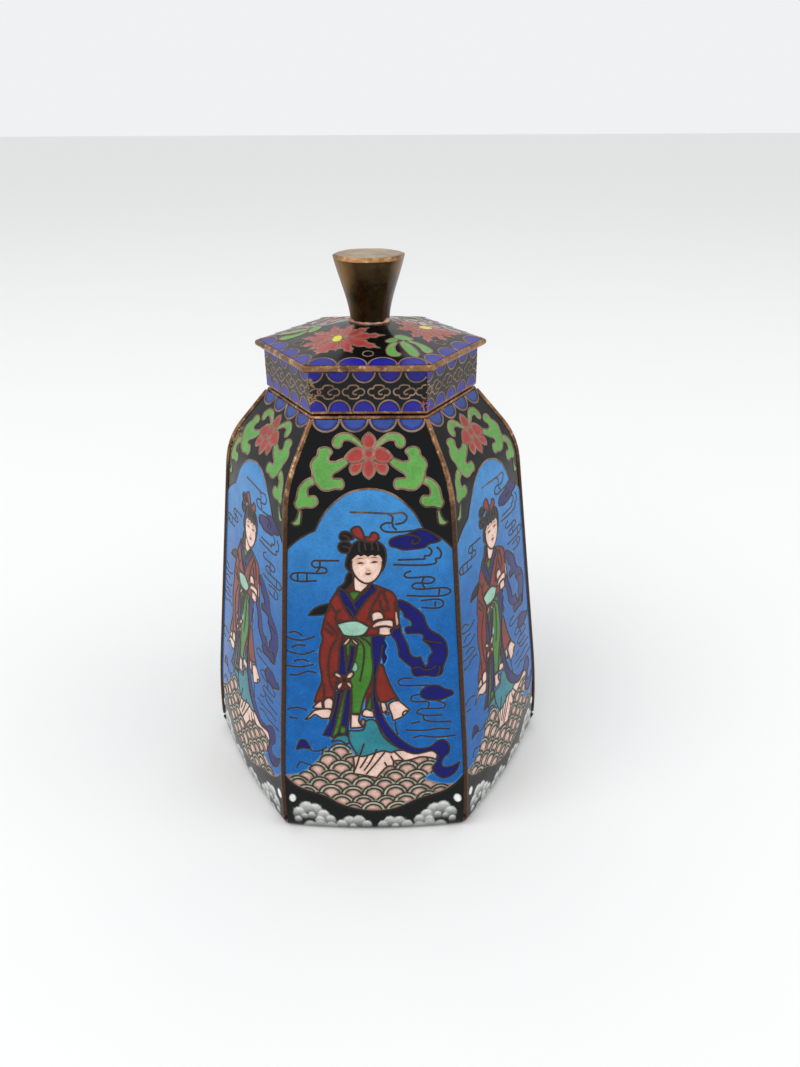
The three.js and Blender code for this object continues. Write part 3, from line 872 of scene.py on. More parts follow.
class Recipe:
    """A material's nodes, made one at a time."""

    def __init__(self, name):
        self.material = bpy.data.materials.new(name)
        self.material.use_nodes = True
        self.tree = self.material.node_tree
        self.shader = self.tree.nodes["Principled BSDF"]

    def node(self, kind, inputs=None, **properties):
        """Adds a node and gives back its outputs by name."""
        node = self.tree.nodes.new(kind)
        for key, value in properties.items():
            setattr(node, key, value)
        for key, value in (inputs or {}).items():
            self.feed(node.inputs[key], value)
        return {output.name: Value(self, output) for output in node.outputs if output.enabled}

    def feed(self, socket, value):
        if isinstance(value, Value):
            self.tree.links.new(value.socket, socket)
        elif isinstance(value, tuple) and len(value) == 3 and socket.type == "RGBA":
            socket.default_value = (*value, 1)
        else:
            socket.default_value = value

    def place(self):
        """Object coordinates in millimetres."""
        spot = self.node("ShaderNodeTexCoord")["Object"]
        return self.node("ShaderNodeVectorMath", {0: spot, "Scale": 1 / MM}, operation="SCALE")["Vector"]

    def noise(self, place, size, detail=2.0, rough=0.5):
        inputs = {"Vector": place, "Scale": 1 / size, "Detail": detail, "Roughness": rough}
        return self.node("ShaderNodeTexNoise", inputs)["Fac"]

    def cells(self, place, size):
        return self.node("ShaderNodeTexVoronoi", {"Vector": place, "Scale": 1 / size})["Distance"]

    def height(self, place):
        return self.node("ShaderNodeSeparateXYZ", {0: place})["Z"]

    def attribute(self, name):
        return self.node("ShaderNodeAttribute", attribute_name=name)["Fac"]

    def near(self, place, spot, reach, full):
        """1 within a share of the reach round a spot, and 0 beyond the reach."""
        gap = self.node("ShaderNodeVectorMath", {0: place, 1: spot}, operation="DISTANCE")["Value"]
        return 1 - gap.between(reach * full, reach)

    def blend(self, share, first, second):
        """Goes from the first colour to the second."""
        node = self.tree.nodes.new("ShaderNodeMix")
        node.data_type = "RGBA"
        colours = [socket for socket in node.inputs if socket.type == "RGBA"]
        for socket, value in zip((node.inputs[0], *colours), (share, first, second)):
            self.feed(socket, value)
        return Value(self, next(socket for socket in node.outputs if socket.type == "RGBA"))

    def relief(self, height):
        """Surface relief from a height in millimetres."""
        bump = self.node("ShaderNodeBump", {"Strength": 1.0, "Distance": MM, "Height": height})
        self.feed(self.shader.inputs["Normal"], bump["Normal"])

    def finish(self, **inputs):
        for key, value in inputs.items():
            self.feed(self.shader.inputs[key.replace("_", " ")], value)
        return self.material


def scaled(colour, share):
    return tuple(min(1.0, part * share) for part in colour)


# Places where the enamel is chipped or rubbed to the metal: middle, reach and colour.
WORN_SPOTS = (
    ((-29.3, -1.6, 76.0), 5.0, paint(150, 124, 66)),
    ((-10.4, -18.0, 91.5), 1.3, paint(170, 134, 62)),
    ((-10.4, -18.0, 88.6), 1.5, paint(170, 134, 62)),
    ((10.4, -18.0, 87.2), 1.6, paint(168, 80, 80)),
)

# Where the knob's dark skin is painted lighter, as lit left facets and a highlight streak on the right:
# place, reach and colour.
KNOB_PAINTED_LIGHTS = (
    ((-6.2, -2.6, 107.5), 5.6, paint(128, 92, 46)),
    ((-4.4, -2.4, 100.5), 3.4, paint(104, 74, 40)),
    ((6.2, -2.2, 109.0), 3.6, paint(116, 84, 50)),
)


# How enamel shines on the jar and on the lid, the heights between which the sky turns deeper, and the
# heights below which the copper is painted darker brown as shade, so the shoulder stays paler as a
# painted highlight.
JAR_GLOSS, LID_GLOSS = 0.18, 0.26
SKY_FADE = (44.0, 74.0)
COPPER_SHADE_FADE = (68.0, 75.0)
DEEP_SKY = paint(14, 90, 160)
CLOUD_WHITE = paint(240, 242, 238)

# Enamel: sizes in millimetres of what varies in it, and heights of its relief.
PATCH_SIZE, GRAIN_SIZE, SAND_SIZE = 2.6, 0.34, 0.16
PINHOLE_SIZE, PITTED_SIZE, CHIP_SIZE, WAVE_SIZE = 1.0, 3.5, 0.6, 6.0
PATCH_DARK, PATCH_LIGHT = 0.84, 1.14
WAVE_HEIGHT, GRAIN_HEIGHT, PIT_DEPTH = 0.14, 0.01, 0.05

# Specks of sand: from and to which value of the noise they show, and how bright they are.
SPECKS = ((0.62, 0.74, 1.9), (0.38, 0.28, 0.45))
SPECK_SHARE = 0.3

# Metal: sizes in millimetres of its browned patches, grain and scratches, and heights of its relief.
BROWNED_SIZE, METAL_GRAIN, SCRATCH_SIZE = 4.0, 0.5, 1.3
METAL_GRAIN_HEIGHT, SCRATCH_HEIGHT = 0.02, 0.012


def enamel(name, core, edge=None, edge_width=0.0, lower=None, gloss=JAR_GLOSS, clouded=False):
    """Ground and polished enamel: grainy colour, pinholes, a paler or darker edge at the wires."""
    recipe = Recipe(name)
    place = recipe.place()
    patches = recipe.noise(place, PATCH_SIZE, 3.0, 0.6)
    grain = recipe.noise(place, GRAIN_SIZE, 2.0, 0.6)
    sand = recipe.noise(place, SAND_SIZE, 1.0)
    pinholes = 1 - recipe.cells(place, PINHOLE_SIZE).between(0.07, 0.14)
    pits = pinholes * recipe.noise(place, PITTED_SIZE).between(0.5, 0.62)
    share = (patches * 0.55 + grain * 0.45).between(0.36, 0.64)
    colour = recipe.blend(share, scaled(core, PATCH_DARK), scaled(core, PATCH_LIGHT))
    if lower:
        deep = recipe.blend(share, scaled(lower, PATCH_DARK), scaled(lower, PATCH_LIGHT))
        colour = recipe.blend(recipe.height(place).between(*SKY_FADE), deep, colour)
    if edge:
        wander = (grain - 0.5) * (edge_width * 0.5)
        reach = recipe.attribute("edge_distance") + wander
        colour = recipe.blend(reach.between(edge_width * 0.1, edge_width), edge, colour)
    for start, end, light in SPECKS:
        colour = recipe.blend(sand.between(start, end) * SPECK_SHARE, colour, scaled(core, light))
    colour = recipe.blend(pits * 0.8, colour, scaled(core, 0.2))
    if clouded:
        white = recipe.attribute("painted_cloud")
        colour = recipe.blend(white + (grain - 0.5) * white, colour, CLOUD_WHITE)
    for spot, reach, tint in WORN_SPOTS:
        chips = recipe.noise(place, CHIP_SIZE, 3.0, 0.7).between(0.5, 0.56)
        colour = recipe.blend(chips * recipe.near(place, spot, reach, 0.4), colour, tint)
    rough = grain * 0.14 + pits * 0.45 + 0.07
    wave = recipe.noise(place, WAVE_SIZE, 1.0) * WAVE_HEIGHT
    recipe.relief(wave + grain * GRAIN_HEIGHT - pits * PIT_DEPTH)
    recipe.shader.inputs["IOR"].default_value = 1.45
    recipe.shader.inputs["Specular IOR Level"].default_value = gloss
    return recipe.finish(Base_Color=colour, Roughness=rough)


def metal(name, base, bright, dull, rough, scuff=0.5, metallic=1.0, low=None, painted_lights=()):
    """Rubbed metal: browned in patches, bright where worn, darker brown low down as painted shade, lighter at
    given spots as painted light.
    """
    recipe = Recipe(name)
    place = recipe.place()
    patches = recipe.noise(place, BROWNED_SIZE, 4.0, 0.65)
    grain = recipe.noise(place, METAL_GRAIN, 3.0, 0.7)
    scratches = recipe.noise(place, SCRATCH_SIZE, 4.0, 0.75)
    colour = recipe.blend(patches.between(0.35, 0.65), dull, base)
    colour = recipe.blend(scratches.between(0.5, 0.75) * scuff, colour, bright)
    colour = recipe.blend(grain.between(0.62, 0.8) * 0.5, colour, dull)
    # Painted shade: the metal turns darker brown below the fade heights, and the shoulder above stays paler
    # as a painted highlight.
    if low:
        height = recipe.height(place) + patches * 6 - 3
        painted_shade = recipe.blend(grain.between(0.4, 0.7), scaled(low, 0.75), scaled(low, 1.2))
        colour = recipe.blend(height.between(*COPPER_SHADE_FADE), painted_shade, colour)
    # Painted light: the metal is lightened round each spot, as lit facets and highlight streaks.
    for spot, reach, tint in painted_lights:
        lit_share = recipe.near(place, spot, reach, 0.3) * (patches * 0.4 + 0.6)
        colour = recipe.blend(lit_share, colour, tint)
    roughness = rough + patches * 0.15 + grain * 0.12 - 0.1
    recipe.relief(grain * METAL_GRAIN_HEIGHT + scratches * SCRATCH_HEIGHT)
    return recipe.finish(Base_Color=colour, Roughness=roughness, Metallic=metallic)


def wired_tree():
    """Geometry Nodes: sweeps a wire along a line, sets copies in a row, and turns the row round."""
    tree = bpy.data.node_groups.new("repeated_wire", "GeometryNodeTree")
    face = tree.interface
    face.new_socket("Geometry", in_out="INPUT", socket_type="NodeSocketGeometry")
    for name, default in (("Width", 0.4), ("Thickness", 0.3), ("Pitch", 5.0), ("Lean", 0.0),
                          ("Outward", 0.0), ("Height", 0.0), ("Turn", SIDE_ANGLE)):
        socket = face.new_socket(name, in_out="INPUT", socket_type="NodeSocketFloat")
        socket.default_value = default
    for name, default in (("Copies", 1), ("Sides", SIDES)):
        socket = face.new_socket(name, in_out="INPUT", socket_type="NodeSocketInt")
        socket.default_value = default
    face.new_socket("Material", in_out="INPUT", socket_type="NodeSocketMaterial")
    face.new_socket("Geometry", in_out="OUTPUT", socket_type="NodeSocketGeometry")
    nodes, links = tree.nodes, tree.links

    def add(kind, values=None, **properties):
        node = nodes.new(kind)
        for key, value in properties.items():
            setattr(node, key, value)
        for key, value in (values or {}).items():
            if isinstance(value, bpy.types.NodeSocket):
                links.new(value, node.inputs[key])
            else:
                node.inputs[key].default_value = value
        return node

    given = add("NodeGroupInput").outputs
    section = add("GeometryNodeCurvePrimitiveCircle", {"Resolution": 10, "Radius": 0.5})
    size = add("ShaderNodeCombineXYZ", {"X": given["Width"], "Y": given["Thickness"], "Z": 1.0})
    shaped = add("GeometryNodeTransform", {"Geometry": section.outputs["Curve"], "Scale": size.outputs[0]})
    line = add("GeometryNodeMeshToCurve", {"Mesh": given["Geometry"]})
    upright = add("GeometryNodeSetCurveNormal", {"Curve": line.outputs["Curve"]}, mode="Z_UP")
    swept = add("GeometryNodeCurveToMesh", {"Curve": upright.outputs["Curve"],
                                            "Profile Curve": shaped.outputs["Geometry"], "Fill Caps": True})
    spare = add("ShaderNodeMath", {0: given["Copies"], 1: 1.0}, operation="SUBTRACT")
    half = add("ShaderNodeMath", {0: spare.outputs[0], 1: -0.5}, operation="MULTIPLY")
    first = add("ShaderNodeMath", {0: half.outputs[0], 1: given["Pitch"]}, operation="MULTIPLY")
    start = add("ShaderNodeCombineXYZ", {"X": first.outputs[0]})
    step = add("ShaderNodeCombineXYZ", {"X": given["Pitch"]})
    row = add("GeometryNodeMeshLine", {"Count": given["Copies"], "Start Location": start.outputs[0],
                                       "Offset": step.outputs[0]})
    copies = add("GeometryNodeInstanceOnPoints", {"Points": row.outputs["Mesh"],
                                                  "Instance": swept.outputs["Mesh"]})
    lean = add("ShaderNodeCombineXYZ", {"X": given["Lean"]})
    back = add("ShaderNodeMath", {0: given["Outward"], 1: -1.0}, operation="MULTIPLY")
    spot = add("ShaderNodeCombineXYZ", {"Y": back.outputs[0], "Z": given["Height"]})
    placed = add("GeometryNodeTransform", {"Geometry": copies.outputs["Instances"],
                                           "Rotation": lean.outputs[0], "Translation": spot.outputs[0]})
    hub = add("GeometryNodeMeshLine", {"Count": given["Sides"], "Offset": (0.0, 0.0, 0.0)})
    index = add("GeometryNodeInputIndex")
    angle = add("ShaderNodeMath", {0: index.outputs[0], 1: given["Turn"]}, operation="MULTIPLY")
    turn = add("ShaderNodeCombineXYZ", {"Z": angle.outputs[0]})
    every = add("GeometryNodeInstanceOnPoints", {"Points": hub.outputs["Mesh"],
                                                 "Instance": placed.outputs["Geometry"],
                                                 "Rotation": turn.outputs[0]})
    real = add("GeometryNodeRealizeInstances", {"Geometry": every.outputs["Instances"]})
    coated = add("GeometryNodeSetMaterial", {"Geometry": real.outputs["Geometry"],
                                             "Material": given["Material"]})
    add("NodeGroupOutput", {"Geometry": coated.outputs["Geometry"]})
    return tree


def repeated_wire(name, path, material, **sizes):
    """A wire along a path, repeated by the Geometry Nodes tree and made a plain mesh."""
    tree = bpy.data.node_groups.get("repeated_wire") or wired_tree()
    mesh = bpy.data.meshes.new(name)
    points = np.asarray(path, float)
    if points.shape[1] == 2:
        points = np.concatenate([points, np.zeros((len(points), 1))], 1)
    edges = [(i, i + 1) for i in range(len(points) - 1)]
    mesh.from_pydata((points * MM).tolist(), edges, [])
    host = bpy.data.objects.new(name + "_path", mesh)
    bpy.context.scene.collection.objects.link(host)
    modifier = host.modifiers.new("repeat", "NODES")
    modifier.node_group = tree
    named = {item.name: item.identifier for item in tree.interface.items_tree if item.in_out == "INPUT"}
    for key, value in sizes.items():
        label = key.capitalize()
        lengths = ("Width", "Thickness", "Pitch", "Outward", "Height")
        modifier[named[label]] = value * MM if label in lengths else value
    modifier[named["Material"]] = material
    graph = bpy.context.evaluated_depsgraph_get()
    graph.update()
    result = bpy.data.meshes.new_from_object(host.evaluated_get(graph))
    host.modifiers.remove(modifier)
    bpy.data.objects.remove(host)
    result.name = name
    work = bmesh.new()
    work.from_mesh(result)
    bmesh.ops.recalc_face_normals(work, faces=work.faces)
    work.to_mesh(result)
    work.free()
    result.shade_smooth()
    piece = bpy.data.objects.new(name, result)
    bpy.context.scene.collection.objects.link(piece)
    return piece


# Where a face's enamel starts and ends along the wall, its step there, and how far it stays in from
# the corner, which the strip covers.
BORDER_FOOT, BORDER_MOUTH, BORDER_STEP, BORDER_CORNER = 0.35, 0.1, 0.9, 0.28
FOOT_STEPS, MOUTH_STEPS = 40, 24


def level_row(start, end, height, steps):
    """Evenly spaced points of a level line."""
    return np.stack([np.linspace(start, end, steps), np.full(steps, height)], -1)


def face_border():
    """The edge of a face's enamel, just under the corner strips."""
    top = OUTSIDE_LENGTH[-1] - BORDER_MOUTH
    lengths = np.append(np.arange(BORDER_FOOT, top, BORDER_STEP), top)
    side = outside_at(lengths)[0] * math.tan(SIDE_ANGLE / 2) - BORDER_CORNER
    right = np.stack([side, lengths], -1)
    left = np.stack([-side, lengths], -1)[::-1]
    low = level_row(-side[0], side[0], lengths[0], FOOT_STEPS)[1:-1]
    high = level_row(side[-1], -side[-1], lengths[-1], MOUTH_STEPS)[1:-1]
    return np.concatenate([low, right, high, left])


def arc(centre, radius, start, end, flat=1.0, steps=18):
    """Points along part of an ellipse."""
    angle = np.linspace(start, end, steps)
    return np.stack([centre[0] + radius * np.cos(angle), centre[1] + radius * flat * np.sin(angle)], -1)


# The fish-scale waves: rows and columns, how far apart they are, how high the lowest row is, how
# far the hand strays in place and in size, and the radius and glaze of each band.
WAVE_ROWS, WAVE_COLUMNS = 8, 11
WAVE_PITCH, WAVE_RISE, WAVE_FOOT = 4.5, 2.05, 6.4
WAVE_STRAY, WAVE_VARIES = 0.34, 0.08
WAVE_BANDS = ((2.45, "sage"), (1.68, "rose"))


def waves(sheet):
    """Overlapping fish-scale waves under the picture's figure, back rows first."""
    field = smooth(WAVE_FIELD, True)
    hand = np.random.default_rng(11)
    for row in reversed(range(WAVE_ROWS)):
        shift = WAVE_PITCH / 2 if row % 2 else 0
        for column in range(WAVE_COLUMNS):
            across = (column - WAVE_COLUMNS // 2) * WAVE_PITCH + shift
            stray = hand.uniform(-WAVE_STRAY, WAVE_STRAY, 2)
            centre = np.array((across, WAVE_FOOT + row * WAVE_RISE)) + stray
            size = hand.uniform(1 - WAVE_VARIES, 1 + WAVE_VARIES)
            for radius, glaze in WAVE_BANDS:
                ring = arc(centre, radius * size, 0, math.tau, steps=25)[:-1]
                sheet.cell(glaze, ring, clip=field)


class Scallops:
    """A row of half-round cells along an edge, centred on it."""

    def __init__(self, count, pitch, radius, depth):
        self.count, self.pitch, self.radius, self.depth = count, pitch, radius, depth

    def centres(self):
        return [(place - (self.count - 1) / 2) * self.pitch for place in range(self.count)]

    def outline(self, centre, edge, end=math.tau):
        """One cell's round side, which hangs from the edge, or stands on it when it ends at 0."""
        return arc((centre, edge), self.radius, math.pi, end, self.depth / self.radius)


RIM_SCALLOPS = Scallops(4, 5.12, 2.4, 2.3)
EAVE_SCALLOPS = Scallops(4, 5.2, 2.48, 2.55)
SKIRT_TOP_ROW = (-9.8, -5.3, -0.7, 3.9, 8.5)
SKIRT_LOW_ROW = (-9.45, -5.2, -0.8, 3.6, 7.9)
SKIRT_SCROLLS = (-10.36, -7.0, -2.6, 1.9, 6.4, 10.36)
SKIRT_SCALLOP = 1.98
SKIRT_ENAMEL_FOOT = 0.5
SCROLL_LEVEL = 4.1
LID_WIRE_SHARE = 0.8

# How far in from the eave's edge the roof's enamel ends, and the copper under it begins.
ROOF_BORDER, ROOF_COPPER = 0.62, 1.0
FLOWER_CENTRE, FLOWER_EYE, EYE_RADIUS = (-5.8, -8.8), (-5.8, -8.9), 1.05
RINGLET_REACH, RINGLET_RADIUS = 15, 0.95


def glaze_materials(glazes, prefix="enamel", gloss=JAR_GLOSS):
    """The enamel materials of a sheet, and the slot of each of its faces."""
    names = list(dict.fromkeys(glazes))
    materials = []
    for name in names:
        label = f"{prefix}_{name}"
        core, edge, width = GLAZES[name]
        lower = DEEP_SKY if name == "sky" else None
        clouded = label == "enamel_black"
        made = bpy.data.materials.get(label)
        materials.append(made or enamel(label, core, edge, width, lower, gloss, clouded))
    return materials, [names.index(glaze) for glaze in glazes]


def copper_wire():
    """The material of the cloison wires."""
    # The wires are painted darker brown low down as shade, and stay paler at the shoulder as a painted
    # highlight.
    return bpy.data.materials.get("copper_wire") or metal(
        "copper_wire", paint(146, 118, 98), paint(184, 154, 130), paint(104, 80, 62), 0.4,
        metallic=0.5, low=paint(56, 40, 32))


def strip_copper():
    """The material of the corner strips and edges."""
    # The strips are painted darker brown low down as shade, and stay paler at the shoulder as a painted
    # highlight.
    return bpy.data.materials.get("strip_copper") or metal(
        "strip_copper", paint(150, 108, 76), paint(230, 192, 150), paint(92, 62, 42), 0.32,
        scuff=0.9, metallic=0.85, low=paint(76, 54, 38))


def sidebar_length(name, description, default):
    """A length in the sidebar, in metres."""
    return bpy.props.FloatProperty(
        name=name, description=description, default=default, unit="LENGTH", subtype="DISTANCE")


def sidebar_colour(name, description, default):
    """A colour in the sidebar."""
    return bpy.props.FloatVectorProperty(
        name=name, description=description, default=default, size=3, subtype="COLOR", min=0, max=1)


class JarSizes(bpy.types.PropertyGroup):
    """Sizes that a user may change."""

    face_bow: sidebar_length("Face Bow", "How far the middle of a face stands out at the foot", 0.0013)
    wire_width: sidebar_length("Wire Width", "Width of the wires between the enamel cells", 0.0004)
    wire_proud: sidebar_length("Wire Height", "How far the wires stand above the enamel", 0.00005)
    strip_width: sidebar_length("Strip Width", "Width of the strips along the six corners", 0.00105)
    knob_base: sidebar_length("Knob Base", "Width of the knob where it stands on the lid", 0.0068)
    knob_top: sidebar_length("Knob Top", "Width of the knob at its flat top", 0.0123)


class JarColours(bpy.types.PropertyGroup):
    """Colours that a user may change."""

    floor: sidebar_colour("Floor", "Colour of the floor", (0.86, 0.86, 0.85))
    lining: sidebar_colour("Lining", "Enamel inside the jar and under it", paint(70, 140, 168))
    bronze: sidebar_colour("Bronze", "Dark bronze of the knob", paint(66, 52, 34))


class JAR_OT_shell(bpy.types.Operator):
    """Makes the hollow copper jar with its enamelled inside, foot and neck collar"""

    bl_idname = "jar.shell"
    bl_label = "Jar Shell"

    def execute(self, context):
        lining = enamel("lining_enamel", tuple(context.scene.jar_colours.lining))
        ring_inside = FOOT[0] - FOOT_RING
        under = [(ring_inside - 0.6, RECESS)]
        foot = [(ring_inside - 0.4, RECESS - 0.02), (ring_inside, EASE), (ring_inside + EASE, 0)]
        collar = [
            (RIM[0] - 0.2, RIM_HEIGHT - 0.1),
            (COLLAR_OUTSIDE + 0.2, RIM_HEIGHT - 0.05),
            (COLLAR_OUTSIDE, RIM_HEIGHT + 0.1),
            (COLLAR_OUTSIDE, COLLAR_TOP - 0.2),
            (COLLAR_OUTSIDE - 0.2, COLLAR_TOP),
            (COLLAR_INSIDE + EASE, COLLAR_TOP),
            (COLLAR_INSIDE, COLLAR_TOP - 0.2),
        ]
        form = Rings()
        for line, slot in ((under, LINED), (foot + self.wall() + collar, COPPER), (self.inside(), LINED)):
            for half, height in line:
                form.add(hexagon_ring(float(half), float(height), float(bow_at(height))), slot)
        settle(form.piece("jar_shell", [strip_copper(), lining]), "body")
        return {"FINISHED"}

    def wall(self):
        """The outside of the copper wall, sunk under the enamel above the foot."""
        line = []
        for place in [*LOW_STEPS, *np.arange(4.5, 88, 2.1), OUTSIDE_LENGTH[-1]]:
            half, height, outward, upward = (float(part) for part in outside_at(place))
            sink = SHELL_SINK * min(1, place / SINK_START)
            line.append((half - sink * outward, height - sink * upward))
        return line

    def inside(self):
        """The inside of the wall, from the collar down to the floor."""
        shoulder, belly = SHOULDER[0] - WALL * 1.2, BELLY[0] - WALL
        corners = ((belly, FLOOR_TOP), (belly, BELLY[1]), (shoulder, SHOULDER[1] - 0.6))
        line = bent_outline((belly - 3.0, FLOOR_TOP), corners, ((1.5, 1.5), BENDS[1], BENDS[2]),
                            (COLLAR_INSIDE, RIM_HEIGHT - 2.2), 5)
        return [(COLLAR_INSIDE, RIM_HEIGHT - 2.0), *line[::-1]]


class JAR_OT_panels(bpy.types.Operator):
    """Makes the six enamel picture panels and their cloison wires"""

    bl_idname = "jar.panels"
    bl_label = "Picture Panels"

    def execute(self, context):
        sheet = Inlay(face_border(), on_wall, "black", fine_below=CLOUD_TOP)
        for centre in RIM_SCALLOPS.centres():
            sheet.cell("rim_blue", RIM_SCALLOPS.outline(centre, OUTSIDE_LENGTH[-1]), wire=False)
        sheet.draw(FLOWER_ART)
        sheet.draw(SKY_ART)
        waves(sheet)
        for art in (GOWN_ART, ROBE_ART, SCARF_ART, HEAD_ART, BASE_ART):
            sheet.draw(art)
        points, faces, glazes, distance = sheet.sheet()
        materials, slots = glaze_materials(glazes)
        clouds = np.zeros(len(points))
        clouds[:len(sheet.flat)] = cloud_whiteness(sheet.flat)
        wire_points, wire_faces = sheet.wire_mesh()
        for face in range(SIDES):
            angle = face * SIDE_ANGLE
            panel = make_piece(f"picture_panel_{face + 1}", turned(points, angle), faces, materials, slots,
                               distance, clouds=clouds)
            settle(panel)
            wires = make_piece(f"picture_wires_{face + 1}", turned(wire_points, angle), wire_faces,
                               [copper_wire()], sharp=50)
            settle(wires)
        return {"FINISHED"}


# The strips' lower ends, between these lengths from the foot, are sunk in by this much.
STRIP_FOOT, STRIP_SINK = (0.9, 3.2), (0.9, 0.15)
STRIP_STEP = 1.2
MOUTH_WIRE = (0.5, 0.42)


class JAR_OT_strips(bpy.types.Operator):
    """Makes the corner strips, the mouth wire and the scallop wires at the mouth"""

    bl_idname = "jar.strips"
    bl_label = "Corner Strips"

    def execute(self, context):
        width = settings().strip_width / MM
        low, top = STRIP_FOOT[0], OUTSIDE_LENGTH[-1]
        lengths = np.append(np.arange(low, top - 0.4, STRIP_STEP), top - 0.2)
        half, height, outward, upward = outside_at(lengths)
        sink = np.interp(lengths, STRIP_FOOT, STRIP_SINK)
        radius = half / math.cos(SIDE_ANGLE / 2) - sink * outward
        path = np.stack([radius, np.zeros_like(radius), height - sink * upward], -1)
        strips = repeated_wire("corner_strips", path, strip_copper(), width=width, thickness=width)
        settle(strips)
        self.mouth()
        upward = float(outside_at(top - 0.6)[3])
        wires = repeated_wire(
            "mouth_scallop_wires", RIM_SCALLOPS.outline(0, 0), copper_wire(), width=0.46,
            thickness=0.26, pitch=RIM_SCALLOPS.pitch, copies=RIM_SCALLOPS.count,
            lean=math.pi / 2 - math.asin(upward), outward=RIM[0], height=RIM[1])
        settle(wires)
        return {"FINISHED"}

    def mouth(self):
        across, rise = MOUTH_WIRE
        half, height = RIM[0] - 0.55, RIM_HEIGHT - rise
        rings = [hexagon_ring(half + across * math.cos(angle), height + rise * math.sin(angle))
                 for angle in np.linspace(0, math.tau, 13)[:-1]]
        points, faces, _ = loft(rings, closed=True)
        settle(make_piece("mouth_wire", points, faces, [strip_copper()]))


